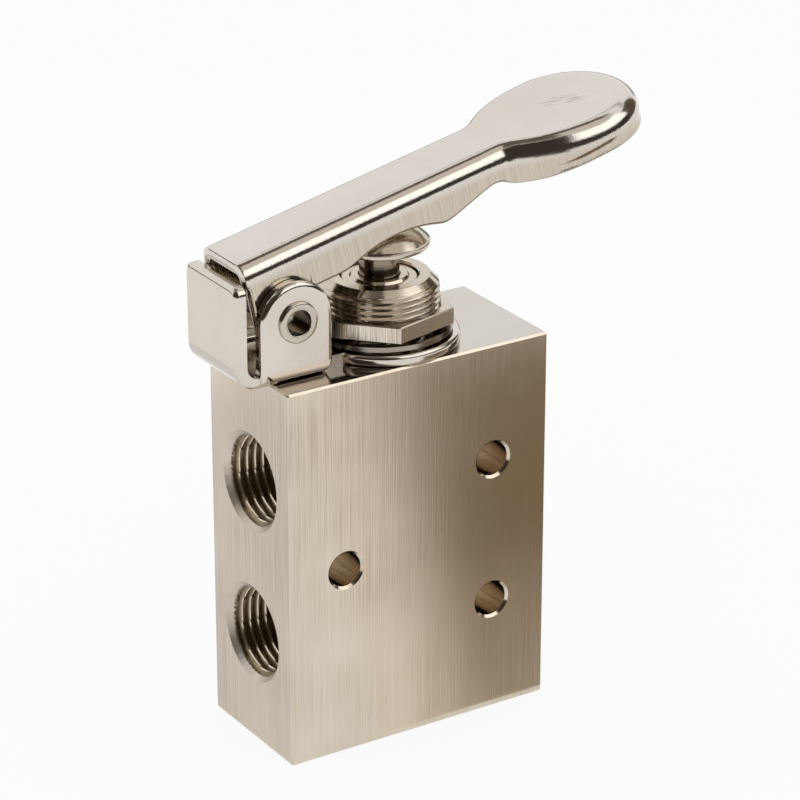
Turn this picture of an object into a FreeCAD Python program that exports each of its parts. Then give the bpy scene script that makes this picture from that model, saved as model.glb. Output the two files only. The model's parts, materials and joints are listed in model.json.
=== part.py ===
"""Lever-operated three-port spool valve, modelled piece by piece as it comes apart on a bench.

Frame: millimetres, origin at the centre of the block's bottom face, +Z up along the spool,
+X along the block's wide face towards the thumb pad, +Y away from the front face.
"""
import FreeCAD, Part
import math
import os
import re
import Sketcher
from FreeCAD import Placement, Rotation, Vector

doc = FreeCAD.newDocument("ToggleValve")

# Driving dimensions, in millimetres and degrees
SIZES = [
    # Block
    ("BlockWidth", "30"),
    ("BlockDepth", "15"),
    ("BlockHeight", "40"),
    ("EdgeBreak", "0.2"),
    # Pipe ports, G 1/8
    ("PortSpacing", "16.5"),
    ("PortTapRadius", "4.283"),
    ("PortMouthRadius", "5.18"),
    ("PortThreadDepth", "8"),
    ("PortPassageRadius", "2"),
    # Cross holes through the wide face
    ("HoleOffset", "8.6"),
    ("HoleSpacing", "15.5"),
    ("HoleRadius", "1.8"),
    ("HoleBreak", "0.25"),
    # Seal stack in the centre bore
    ("BoreWall", "2.5"),
    ("SealHeight", "2"),
    ("SleeveWall", "1.6"),
    ("SleeveGrooveDepth", "0.6"),
    ("SleeveGrooveHeight", "3.4"),
    ("SleeveHoleRadius", "1.2"),
    ("RetainerThickness", "0.9"),
    ("SealShoulder", "1.6"),
    # Bottom plug
    ("PlugClearance", "0.425"),
    ("PlugCupDepth", "1.6"),
    ("PlugSealSection", "0.96"),
    ("SpannerHoleRadius", "0.7"),
    ("SpannerHoleDepth", "1.4"),
    ("SpannerHoleOffset", "3"),
    # Spool, stem and button
    ("SealWidth", "2"),
    ("WaistDepth", "1"),
    ("StemRadius", "2"),
    ("Stroke", "2.55"),
    ("SealOverrun", "0.8"),
    ("HeadRadius", "5"),
    ("HeadRimHeight", "0.6"),
    ("HeadRimRound", "0.35"),
    ("HeadHeight", "2.62"),
    ("HeadSeatDepth", "1.2"),
    ("HeadStandoff", "3"),
    # Return spring and its clip
    ("SpringWireRadius", "0.3"),
    ("SpringTurns", "5"),
    ("CollarThickness", "0.8"),
    ("ClipThickness", "0.6"),
    ("ClipGrooveDepth", "0.4"),
    ("ClipReach", "0.3"),
    ("ClipMouth", "2.6"),
    # Neck
    ("NeckWall", "1.55"),
    ("NeckHeight", "7"),
    ("NeckChamferWidth", "0.95"),
    ("NeckChamferHeight", "0.6"),
    ("NeckTube", "1.65"),
    ("GuideStep", "0.44"),
    ("GuideHeight", "2.05"),
    ("GuideRecess", "0.25"),
    ("GuideFlange", "0.8"),
    # Nut and lock washer
    ("NutWall", "0.55"),
    ("NutHeight", "1.7"),
    ("NutTurn", "14"),
    ("NutChamfer", "0.25"),
    ("WasherReach", "1.3"),
    ("WasherRimWidth", "0.7"),
    ("WasherThickness", "0.5"),
    ("WasherHeight", "1.1"),
    ("ToothWidth", "1.7"),
    ("ToothTwist", "22"),
    ("ToothCount", "12"),
    # Lever bracket
    ("BracketSheet", "1.2"),
    ("RingWidth", "1.8"),
    ("RingOffset", "0.3"),
    ("EarRadius", "4"),
    ("EarBendRadius", "1.7"),
    ("EarRound", "0.6"),
    ("BaseHalfWidth", "3.7"),
    ("StopOverhang", "4"),
    ("StopHeight", "10.65"),
    ("StopHalfWidth", "4.85"),
    ("StopBendRadius", "2.5"),
    ("StopRound", "0.6"),
    ("StopCornerRadius", "1"),
    ("RingRound", "0.45"),
    # Pivot
    ("PivotOffset", "12.5"),
    ("PivotHeight", "6.3"),
    ("RivetRadius", "1.7"),
    ("RivetWall", "0.4"),
    ("RivetLip", "0.4"),
    ("RivetLipHeight", "0.35"),
    # Lever
    ("LeverTilt", "12.5"),
    ("LeverSheet", "1.2"),
    ("LeverHalfWidth", "4.1"),
    ("LeverTop", "7"),
    ("LeverHeel", "3.9"),
    ("LeverLobe", "3.65"),
    ("LeverBend", "1.45"),
    ("PadOverhang", "0.2"),
    ("PadFlankRadius", "14"),
    ("PadReach", "35.95"),
    ("NeckFillet", "2.5"),
    ("WallFoot", "1.85"),
    ("ArchStart", "7.3"),
    ("ArchEnd", "18.6"),
    ("ArchRadius", "13.4"),
    ("NotchReach", "24.95"),
    ("NotchFoot", "3.75"),
    ("SkirtReach", "26.75"),
    ("SkirtFoot", "2.78"),
    ("RimReach", "35.5"),
    ("RimFoot", "3.4"),
    # Clearances
    ("ThreadFit", "0.03"),
    ("RunningFit", "0.05"),
    ("LeverSideFit", "0.1"),
    ("SeatGap", "0.02"),
]

sheet = doc.addObject("Spreadsheet::Sheet", "Sizes")
for row, (alias, text) in enumerate(SIZES, start=1):
    sheet.set(f"A{row}", alias)
    sheet.set(f"B{row}", text)
    sheet.setAlias(f"B{row}", alias)
doc.recompute()


class Size:
    """A length or angle known both as a number and as the formula that ties it to the sheet."""

    def __init__(self, formula, value):
        self.formula = formula
        self.value = float(value)

    @staticmethod
    def of(other):
        return other if isinstance(other, Size) else Size(repr(other), other)

    def join(self, sign, other, value):
        return Size(f"({self.formula} {sign} {Size.of(other).formula})", value)

    def __add__(self, other):
        return self.join("+", other, self.value + Size.of(other).value)

    def __sub__(self, other):
        return self.join("-", other, self.value - Size.of(other).value)

    def __mul__(self, other):
        return self.join("*", other, self.value * Size.of(other).value)

    def __truediv__(self, other):
        return self.join("/", other, self.value / Size.of(other).value)

    def __radd__(self, other):
        return Size.of(other) + self

    def __rsub__(self, other):
        return Size.of(other) - self

    def __rmul__(self, other):
        return Size.of(other) * self

    def __neg__(self):
        return Size(f"(-1 * {self.formula})", -self.value)

    def root(self):
        return Size(f"sqrt({self.formula})", math.sqrt(self.value))

    def sin(self):
        return Size(f"sin({self.formula} * 1 deg)", math.sin(math.radians(self.value)))

    def cos(self):
        return Size(f"cos({self.formula} * 1 deg)", math.cos(math.radians(self.value)))


def size(alias):
    """The named cell of the sheet."""
    return Size(f"Sizes.{alias}", sheet.get(alias))


ZERO = Size("0", 0)
FULL_TURN = 360
TINY = 1e-4


def bind(owner, prop, amount):
    """Ties a property of an object to a formula on the sheet."""
    owner.setExpression(prop, Size.of(amount).formula)


# Heights and radii worked out from the sizes above
block_half_width = size("BlockWidth") / 2
block_half_depth = size("BlockDepth") / 2
block_height = size("BlockHeight")
outlet_height = block_height / 2
port_pitch = size("PortSpacing") / 2
supply_height = outlet_height - port_pitch
exhaust_height = outlet_height + port_pitch
seal_heights = [outlet_height + port_pitch * step for step in (-1.5, -0.5, 0.5, 1.5)]
stack_bottom = seal_heights[0] - size("SealHeight") / 2
stack_top = seal_heights[3] + size("SealHeight") / 2
neck_foot = stack_top + size("RetainerThickness")
neck_top = block_height + size("NeckHeight")
guide_top = neck_top - size("GuideRecess")
guide_shoulder = guide_top - size("GuideHeight")
guide_foot = guide_shoulder - size("GuideFlange")
stop_gap = 4 * size("RunningFit")
clip_top = guide_foot - stop_gap
clip_foot = clip_top - size("ClipThickness")
collar_foot = clip_foot - size("CollarThickness")
head_foot = neck_top + size("HeadStandoff")
stem_top = head_foot + size("HeadSeatDepth")
plug_shoulder = stack_bottom - size("SealShoulder")
plug_height = plug_shoulder - size("PlugClearance")
bracket_top = block_height + size("BracketSheet")
washer_middle = bracket_top + size("WasherHeight") / 2
nut_foot = bracket_top + size("WasherHeight")
pivot_x = -size("PivotOffset")
pivot_z = block_height + size("PivotHeight")
ear_inside = size("LeverHalfWidth") + size("LeverSideFit")
ear_outside = ear_inside + size("BracketSheet")
bore_radius = block_half_depth - size("BoreWall")
spool_radius = bore_radius - size("SealWidth")
waist_radius = spool_radius - size("WaistDepth")
clip_radius = spool_radius + size("ClipReach")
neck_radius = block_half_depth - size("NeckWall")
neck_cavity = neck_radius - size("NeckTube")
guide_radius = neck_cavity - size("GuideStep")
neck_bore = neck_radius + size("ThreadFit")
nut_flat = neck_radius + size("NutWall")
washer_radius = neck_radius + size("WasherReach")
ring_radius = neck_radius + size("RingWidth")
thumb_radius = block_half_depth + size("PadOverhang")


# Sketch and feature helpers

def new_body(label):
    """An empty body whose label is the name of the piece."""
    body = doc.addObject("PartDesign::Body", label.title().replace("_", ""))
    body.Label = label
    return body


def lift(owner, height):
    """Puts a piece at a height above the origin."""
    bind(owner, "Placement.Base.z", height)


def origin_plane(body, role):
    return next(part for part in body.Origin.OriginFeatures if part.Role == role)


def body_sketch(body, name, role, offset=ZERO):
    """A sketch on one of the body's own origin planes, moved along the plane's normal."""
    sketch = body.newObject("Sketcher::SketchObject", name)
    sketch.AttachmentSupport = [(origin_plane(body, role), "")]
    sketch.MapMode = "FlatFace"
    bind(sketch, "AttachmentOffset.Base.z", offset)
    return sketch


def pin_point(sketch, geometry, end, x, y):
    """Holds one point of the sketch at x, y by two constraints tied to the sheet."""
    root = (-1, 1)
    for kind, amount, axis in (("DistanceX", x, -2), ("DistanceY", y, -1)):
        amount = Size.of(amount)
        if abs(amount.value) < TINY:
            sketch.addConstraint(Sketcher.Constraint("PointOnObject", geometry, end, axis))
            continue
        index = sketch.addConstraint(Sketcher.Constraint(kind, *root, geometry, end, amount.value))
        sketch.setExpression(f"Constraints[{index}]", amount.formula)


def arc_centre(start, end, radius, turn):
    """Centre of the shorter arc between two points; turn is +1 anticlockwise, -1 clockwise."""
    middle = (start + end) * 0.5
    chord = end - start
    rise = math.sqrt(max(radius * radius - chord.Length * chord.Length / 4, 0))
    normal = Vector(-chord.y, chord.x, 0).normalize()
    return middle + normal * (rise * turn)


def draw_loop(sketch, corners):
    """Draws a closed outline.

    Each corner is (x, y) for a straight side to the next corner, or (x, y, radius, turn) for an
    arc to it. Every corner is held at its place and every arc at its radius.
    """
    points = [Vector(Size.of(corner[0]).value, Size.of(corner[1]).value, 0) for corner in corners]
    first = sketch.GeometryCount
    starts = []
    ends = []
    for index, corner in enumerate(corners):
        start = points[index]
        end = points[(index + 1) % len(points)]
        if len(corner) == 2:
            sketch.addGeometry(Part.LineSegment(start, end), False)
            starts.append(1)
            ends.append(2)
            continue
        radius, turn = corner[2], corner[3]
        centre = arc_centre(start, end, radius.value, turn)
        circle = Part.Circle(centre, Vector(0, 0, 1), radius.value)
        low, high = (start, end) if turn > 0 else (end, start)
        angles = [math.atan2(point.y - centre.y, point.x - centre.x) for point in (low, high)]
        sketch.addGeometry(Part.ArcOfCircle(circle, *angles), False)
        starts.append(1 if turn > 0 else 2)
        ends.append(2 if turn > 0 else 1)
    for index, corner in enumerate(corners):
        here = first + index
        following = first + (index + 1) % len(corners)
        joint = (here, ends[index], following, starts[(index + 1) % len(corners)])
        sketch.addConstraint(Sketcher.Constraint("Coincident", *joint))
        pin_point(sketch, here, starts[index], corner[0], corner[1])
        if len(corner) == 4:
            held = Sketcher.Constraint("Radius", here, corner[2].value)
            sketch.setExpression(f"Constraints[{sketch.addConstraint(held)}]", corner[2].formula)


def draw_circle(sketch, x, y, radius):
    centre = Vector(Size.of(x).value, Size.of(y).value, 0)
    index = sketch.addGeometry(Part.Circle(centre, Vector(0, 0, 1), radius.value), False)
    pin_point(sketch, index, 3, x, y)
    held = sketch.addConstraint(Sketcher.Constraint("Radius", index, radius.value))
    sketch.setExpression(f"Constraints[{held}]", radius.formula)


def pad(body, name, sketch, length, midplane=False, backwards=False):
    feature = body.newObject("PartDesign::Pad", name)
    feature.Profile = sketch
    bind(feature, "Length", length)
    feature.Midplane = midplane
    feature.Reversed = backwards
    doc.recompute()
    return feature


def volume_of(body):
    return body.Tip.Shape.Volume if body.Tip else 0.0


def pocket(body, name, sketch, length=None, midplane=False, backwards=False):
    """Cuts a sketch out of the body, through everything when no length is given."""
    before = volume_of(body)
    feature = body.newObject("PartDesign::Pocket", name)
    feature.Profile = sketch
    feature.Midplane = midplane
    feature.Reversed = backwards
    if length is None:
        feature.Type = "ThroughAll"
    else:
        bind(feature, "Length", length)
    doc.recompute()
    if not feature.Shape.Volume < before:
        raise ValueError(f"{body.Label}: {name} cut nothing")
    return feature


def turned(label, corners, height=ZERO):
    """A body turned about its own Z axis from a half profile of (radius, height) corners."""
    body = new_body(label)
    sketch = body_sketch(body, "HalfProfile", "XZ_Plane")
    draw_loop(sketch, corners)
    feature = body.newObject("PartDesign::Revolution", "Turning")
    feature.Profile = sketch
    feature.ReferenceAxis = (sketch, ["V_Axis"])
    feature.Angle = FULL_TURN
    lift(body, height)
    doc.recompute()
    return body


def turned_cut(body, name, corners):
    """Bores the body about its own Z axis with a half profile of (radius, height) corners."""
    before = volume_of(body)
    sketch = body_sketch(body, name + "Profile", "XZ_Plane")
    draw_loop(sketch, corners)
    feature = body.newObject("PartDesign::Groove", name)
    feature.Profile = sketch
    feature.ReferenceAxis = (sketch, ["V_Axis"])
    feature.Angle = FULL_TURN
    doc.recompute()
    if not feature.Shape.Volume < before:
        raise ValueError(f"{body.Label}: {name} cut nothing")
    return feature


def edge_names(shape, wanted):
    return [f"Edge{number}" for number, edge in enumerate(shape.Edges, start=1) if wanted(edge)]


def soften(body, name, kind, amount, wanted):
    """Chamfers or rounds the edges of the body that the test names."""
    base = body.Tip
    feature = body.newObject(f"PartDesign::{kind}", name)
    feature.Base = (base, edge_names(base.Shape, wanted))
    bind(feature, "Size" if kind == "Chamfer" else "Radius", amount)
    doc.recompute()
    return feature


def near(value, target):
    return abs(value - Size.of(target).value) < 1e-3


def on_plane(edge, axis, target):
    """True when the whole edge lies on the plane where that axis has the target value."""
    box = edge.BoundBox
    low, high = {"x": (box.XMin, box.XMax), "y": (box.YMin, box.YMax), "z": (box.ZMin, box.ZMax)}[axis]
    return near(low, target) and near(high, target)


def free_sketch(name, rotation):
    """A sketch outside any body, turned to lie in the plane that it is drawn in."""
    sketch = doc.addObject("Sketcher::SketchObject", name)
    sketch.Placement = Placement(Vector(), rotation)
    return sketch


FLAT = Rotation()
UPRIGHT_XZ = Rotation(Vector(1, 0, 0), 90)
UPRIGHT_YZ = Rotation(Vector(1, 1, 1), 120)


def extrude(name, sketch, direction, length, symmetric=False):
    """A solid made by pushing a free sketch along a direction."""
    feature = doc.addObject("Part::Extrusion", name)
    feature.Base = sketch
    feature.DirMode = "Custom"
    feature.Dir = direction
    bind(feature, "LengthFwd", length)
    feature.Symmetric = symmetric
    feature.Solid = True
    doc.recompute()
    return feature


def combine(kind, name, base, tool):
    """A boolean of two solids: Cut, Common or Fuse."""
    feature = doc.addObject(f"Part::{kind}", name)
    feature.Base = base
    feature.Tool = tool
    doc.recompute()
    return feature


def round_edges(name, base, radii):
    """Rounds edges of a solid; radii maps an edge number to its first and last radius."""
    feature = doc.addObject("Part::Fillet", name)
    feature.Base = base
    feature.Edges = [(number, first, last) for number, (first, last) in radii.items()]
    doc.recompute()
    return feature


# Pieces

def make_valve_body():
    """The machined block: stepped centre bore, three pipe ports and three cross holes."""
    body = new_body("valve_body")
    outline = body_sketch(body, "BlockOutline", "XY_Plane")
    draw_loop(outline, [
        (-block_half_width, -block_half_depth),
        (block_half_width, -block_half_depth),
        (block_half_width, block_half_depth),
        (-block_half_width, block_half_depth),
    ])
    pad(body, "Block", outline, block_height)
    soften(body, "BrokenEdges", "Chamfer", size("EdgeBreak"), lambda edge: True)
    chamber = spool_radius + size("SleeveWall") / 4
    turned_cut(body, "CentreBore", [
        (ZERO, ZERO),
        (bore_radius, ZERO),
        (bore_radius, plug_shoulder),
        (chamber, plug_shoulder),
        (chamber, stack_bottom),
        (bore_radius, stack_bottom),
        (bore_radius, stack_top),
        (neck_bore, stack_top),
        (neck_bore, block_height),
        (ZERO, block_height),
    ])
    # Each side's ports: the tapped hole, then the narrow passage on to the bore
    sides = (
        ("Left", -block_half_width, (supply_height, exhaust_height), False),
        ("Right", block_half_width, (outlet_height,), True),
    )
    for side, face, heights, inward in sides:
        for name, radius, depth in (
            ("Port", size("PortTapRadius"), size("PortThreadDepth")),
            ("Passage", size("PortPassageRadius"), block_half_width),
        ):
            sketch = body_sketch(body, side + name + "Circles", "YZ_Plane", face)
            for height in heights:
                draw_circle(sketch, ZERO, height, radius)
            pocket(body, side + name, sketch, depth, backwards=not inward)
    mouth = size("PortMouthRadius") - size("PortTapRadius")

    def is_port_mouth(edge):
        faces = (on_plane(edge, "x", block_half_width), on_plane(edge, "x", -block_half_width))
        return any(faces) and edge.Closed

    soften(body, "PortMouths", "Chamfer", mouth, is_port_mouth)
    holes = body_sketch(body, "HoleCircles", "XZ_Plane")
    draw_circle(holes, -size("HoleOffset"), outlet_height, size("HoleRadius"))
    for step in (-0.5, 0.5):
        draw_circle(holes, size("HoleOffset"), outlet_height + size("HoleSpacing") * step, size("HoleRadius"))
    pocket(body, "CrossHoles", holes, midplane=True)

    def is_hole_mouth(edge):
        faces = (on_plane(edge, "y", block_half_depth), on_plane(edge, "y", -block_half_depth))
        return any(faces) and edge.Closed

    soften(body, "HoleMouths", "Chamfer", size("HoleBreak"), is_hole_mouth)


def make_neck():
    """The threaded neck screwed into the block, and the guide bush held up in its mouth."""
    crown = neck_top - neck_foot
    shoulder = guide_shoulder - neck_foot
    mouth = guide_radius + size("SeatGap")
    turned("neck_bush", [
        (neck_cavity, ZERO),
        (neck_radius, ZERO),
        (neck_radius, crown - size("NeckChamferHeight")),
        (neck_radius - size("NeckChamferWidth"), crown),
        (mouth, crown),
        (mouth, shoulder),
        (neck_cavity, shoulder),
    ], neck_foot)
    hole = size("StemRadius") + size("RunningFit")
    flange = neck_cavity - size("SeatGap")
    turned("guide_bush", [
        (hole, ZERO),
        (flange, ZERO),
        (flange, size("GuideFlange") - size("SeatGap")),
        (guide_radius, size("GuideFlange") - size("SeatGap")),
        (guide_radius, size("GuideFlange") + size("GuideHeight")),
        (hole, size("GuideFlange") + size("GuideHeight")),
    ], guide_foot)


def make_seal_stack():
    """Four O-rings held apart by three drilled sleeves, and the washer that the neck clamps."""
    for number, height in enumerate(seal_heights, start=1):
        inside = spool_radius + size("RunningFit")
        section = (bore_radius - size("SeatGap") - inside) / 2
        centre = inside + section
        seal = new_body(f"seal_ring_{number}")
        sketch = body_sketch(seal, "Section", "XZ_Plane")
        draw_circle(sketch, centre, ZERO, section)
        ring = seal.newObject("PartDesign::Revolution", "Ring")
        ring.Profile = sketch
        ring.ReferenceAxis = (sketch, ["V_Axis"])
        ring.Angle = FULL_TURN
        lift(seal, height)
    outside = bore_radius - size("SeatGap")
    inside = outside - size("SleeveWall")
    half = (port_pitch - size("SealHeight")) / 2
    groove = size("SleeveGrooveHeight") / 2
    floor = outside - size("SleeveGrooveDepth")
    for label, height in (
        ("sleeve_supply", supply_height),
        ("sleeve_outlet", outlet_height),
        ("sleeve_exhaust", exhaust_height),
    ):
        body = turned(label, [
            (inside, -half),
            (outside, -half),
            (outside, -groove),
            (floor, -groove),
            (floor, groove),
            (outside, groove),
            (outside, half),
            (inside, half),
        ], height)
        for name, role in (("CrossHoles", "YZ_Plane"), ("SideHoles", "XZ_Plane")):
            circle = body_sketch(body, name + "Circle", role)
            draw_circle(circle, ZERO, ZERO, size("SleeveHoleRadius"))
            pocket(body, name, circle, midplane=True)
    rim = neck_radius - size("SeatGap")
    opening = spool_radius + 3 * size("RunningFit")
    turned("seal_retainer", [
        (opening, ZERO),
        (rim, ZERO),
        (rim, size("RetainerThickness")),
        (opening, size("RetainerThickness")),
    ], stack_top)


def make_bottom_plug():
    """The plug that closes the bore, with two spanner holes, and its O-ring."""
    plug_radius = bore_radius - size("ThreadFit")
    cup = spool_radius + size("SleeveWall") / 4
    section = size("PlugSealSection")
    step = bore_radius - section
    ledge = plug_height - section
    body = turned("bottom_plug", [
        (ZERO, ZERO),
        (plug_radius, ZERO),
        (plug_radius, ledge),
        (step, ledge),
        (step, plug_height),
        (cup, plug_height),
        (cup, plug_height - size("PlugCupDepth")),
        (ZERO, plug_height - size("PlugCupDepth")),
    ])
    sketch = body_sketch(body, "SpannerCircles", "XY_Plane")
    for side in (-1, 1):
        draw_circle(sketch, ZERO, size("SpannerHoleOffset") * side, size("SpannerHoleRadius"))
    pocket(body, "SpannerHoles", sketch, size("SpannerHoleDepth"), backwards=True)
    seal = new_body("plug_seal")
    ring_section = body_sketch(seal, "Section", "XZ_Plane")
    draw_circle(ring_section, step + section / 2, ZERO, section / 2 - size("SeatGap"))
    ring = seal.newObject("PartDesign::Revolution", "Ring")
    ring.Profile = ring_section
    ring.ReferenceAxis = (ring_section, ["V_Axis"])
    ring.Angle = FULL_TURN
    lift(seal, ledge + section / 2)


def make_plunger():
    """The spool with its stem, the mushroom head, and the collar and clip under the guide."""
    overrun = size("SealOverrun")
    lower_end = seal_heights[0] - overrun
    waist_foot = seal_heights[1] + size("Stroke") / 2
    waist_top = seal_heights[2] + size("Stroke") / 2
    land_top = seal_heights[3] + size("Stroke") + overrun
    groove = size("StemRadius") - size("ClipGrooveDepth")
    turned("spool", [
        (ZERO, lower_end),
        (spool_radius, lower_end),
        (spool_radius, waist_foot),
        (waist_radius, waist_foot),
        (waist_radius, waist_top),
        (spool_radius, waist_top),
        (spool_radius, land_top),
        (size("StemRadius"), land_top),
        (size("StemRadius"), clip_foot),
        (groove, clip_foot),
        (groove, clip_top),
        (size("StemRadius"), clip_top),
        (size("StemRadius"), stem_top),
        (ZERO, stem_top),
    ])
    seat = size("StemRadius") + size("SeatGap")
    seat_top = size("HeadSeatDepth") + size("SeatGap")
    rise = size("HeadHeight") - size("HeadRimHeight")
    dome = (size("HeadRadius") * size("HeadRadius") + rise * rise) / (2 * rise)
    rim = size("HeadRimRound")
    turned("plunger_head", [
        (seat, ZERO),
        (size("HeadRadius") - rim, ZERO, rim, 1),
        (size("HeadRadius"), rim),
        (size("HeadRadius"), size("HeadRimHeight"), dome, 1),
        (ZERO, size("HeadHeight")),
        (ZERO, seat_top),
        (seat, seat_top),
    ], head_foot)
    loose = size("StemRadius") + size("RunningFit")
    turned("spring_collar", [
        (loose, ZERO),
        (neck_cavity - 3 * size("RunningFit"), ZERO),
        (neck_cavity - 3 * size("RunningFit"), size("CollarThickness") - size("SeatGap")),
        (loose, size("CollarThickness") - size("SeatGap")),
    ], collar_foot)
    # Snap clip: a ring with a mouth as wide as the groove, open towards +X
    clip = new_body("stem_clip")
    sketch = body_sketch(clip, "ClipOutline", "XY_Plane")
    bore = groove + size("SeatGap")
    gap = size("ClipMouth") / 2
    inner_x = (bore * bore - gap * gap).root()
    outer_x = (clip_radius * clip_radius - gap * gap).root()
    draw_loop(sketch, [
        (outer_x, gap, clip_radius, 1),
        (-clip_radius, ZERO, clip_radius, 1),
        (outer_x, -gap),
        (inner_x, -gap, bore, -1),
        (-bore, ZERO, bore, -1),
        (inner_x, gap),
    ])
    pad(clip, "Clip", sketch, size("ClipThickness") - size("SeatGap"))
    lift(clip, clip_foot)


def make_return_spring():
    """The compression spring between the retainer and the collar, swept one turn at a time."""
    wire = size("SpringWireRadius")
    middle = (neck_cavity + spool_radius) / 2
    free = collar_foot - neck_foot - 2 * wire - 2 * size("SeatGap")
    helix = doc.addObject("Part::Helix", "SpringLine")
    bind(helix, "Radius", middle)
    bind(helix, "Height", free)
    bind(helix, "Pitch", free / size("SpringTurns"))
    helix.SegmentLength = 1
    lift(helix, neck_foot + wire + size("SeatGap"))
    section = free_sketch("SpringSection", UPRIGHT_XZ)
    draw_circle(section, middle, ZERO, wire)
    lift(section, neck_foot + wire + size("SeatGap"))
    spring = doc.addObject("Part::Sweep", "ReturnSpring")
    spring.Sections = [section]
    spring.Spine = helix
    spring.Solid = True
    spring.Frenet = True
    spring.Label = "return_spring"
    doc.recompute()


def make_nut():
    """Thin hexagon nut with lightly broken corners."""
    body = new_body("panel_nut")
    corner = 2 * nut_flat / Size("3", 3).root()
    sketch = body_sketch(body, "Hexagon", "XY_Plane")
    draw_loop(sketch, [
        (corner, ZERO),
        (corner / 2, nut_flat),
        (-corner / 2, nut_flat),
        (-corner, ZERO),
        (-corner / 2, -nut_flat),
        (corner / 2, -nut_flat),
    ])
    pad(body, "Blank", sketch, size("NutHeight"))
    bevel = size("NutChamfer")
    reach = corner + bevel
    turned_cut(body, "TopBevel", [
        (reach - 3 * bevel, size("NutHeight")),
        (reach, size("NutHeight") - 2 * bevel),
        (reach, size("NutHeight")),
    ])
    turned_cut(body, "FootBevel", [
        (reach - 3 * bevel, ZERO),
        (reach, 2 * bevel),
        (reach, ZERO),
    ])
    bore = body_sketch(body, "BoreCircle", "XY_Plane")
    draw_circle(bore, ZERO, ZERO, neck_bore)
    pocket(body, "Bore", bore, midplane=True)
    body.Placement = Placement(Vector(), Rotation(Vector(0, 0, 1), 1))
    lift(body, nut_foot)
    bind(body, "Placement.Rotation.Angle", size("NutTurn"))


def make_lock_washer():
    """Internal-tooth lock washer: a flat rim with teeth twisted to bite both faces."""
    body = new_body("lock_washer")
    rim_inside = washer_radius - size("WasherRimWidth")
    half = size("WasherThickness") / 2
    sketch = body_sketch(body, "RimSection", "XZ_Plane")
    draw_loop(sketch, [
        (rim_inside, -half),
        (washer_radius, -half),
        (washer_radius, half),
        (rim_inside, half),
    ])
    rim = body.newObject("PartDesign::Revolution", "Rim")
    rim.Profile = sketch
    rim.ReferenceAxis = (sketch, ["V_Axis"])
    rim.Angle = FULL_TURN
    doc.recompute()
    tooth = body_sketch(body, "ToothSection", "YZ_Plane", neck_bore + size("SeatGap"))
    across = size("ToothWidth") / 2
    twist = size("ToothTwist")
    draw_loop(tooth, [
        (across * twist.cos() * u - half * twist.sin() * v, across * twist.sin() * u + half * twist.cos() * v)
        for u, v in ((-1, -1), (1, -1), (1, 1), (-1, 1))
    ])
    root = size("WasherRimWidth") / 3
    first = pad(body, "Tooth", tooth, rim_inside + root - neck_bore - size("SeatGap"))
    teeth = body.newObject("PartDesign::PolarPattern", "Teeth")
    teeth.Originals = [first]
    teeth.Axis = (sketch, ["V_Axis"])
    teeth.Angle = FULL_TURN
    teeth.Occurrences = int(size("ToothCount").value)
    body.Tip = teeth
    lift(body, washer_middle)
    doc.recompute()


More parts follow.
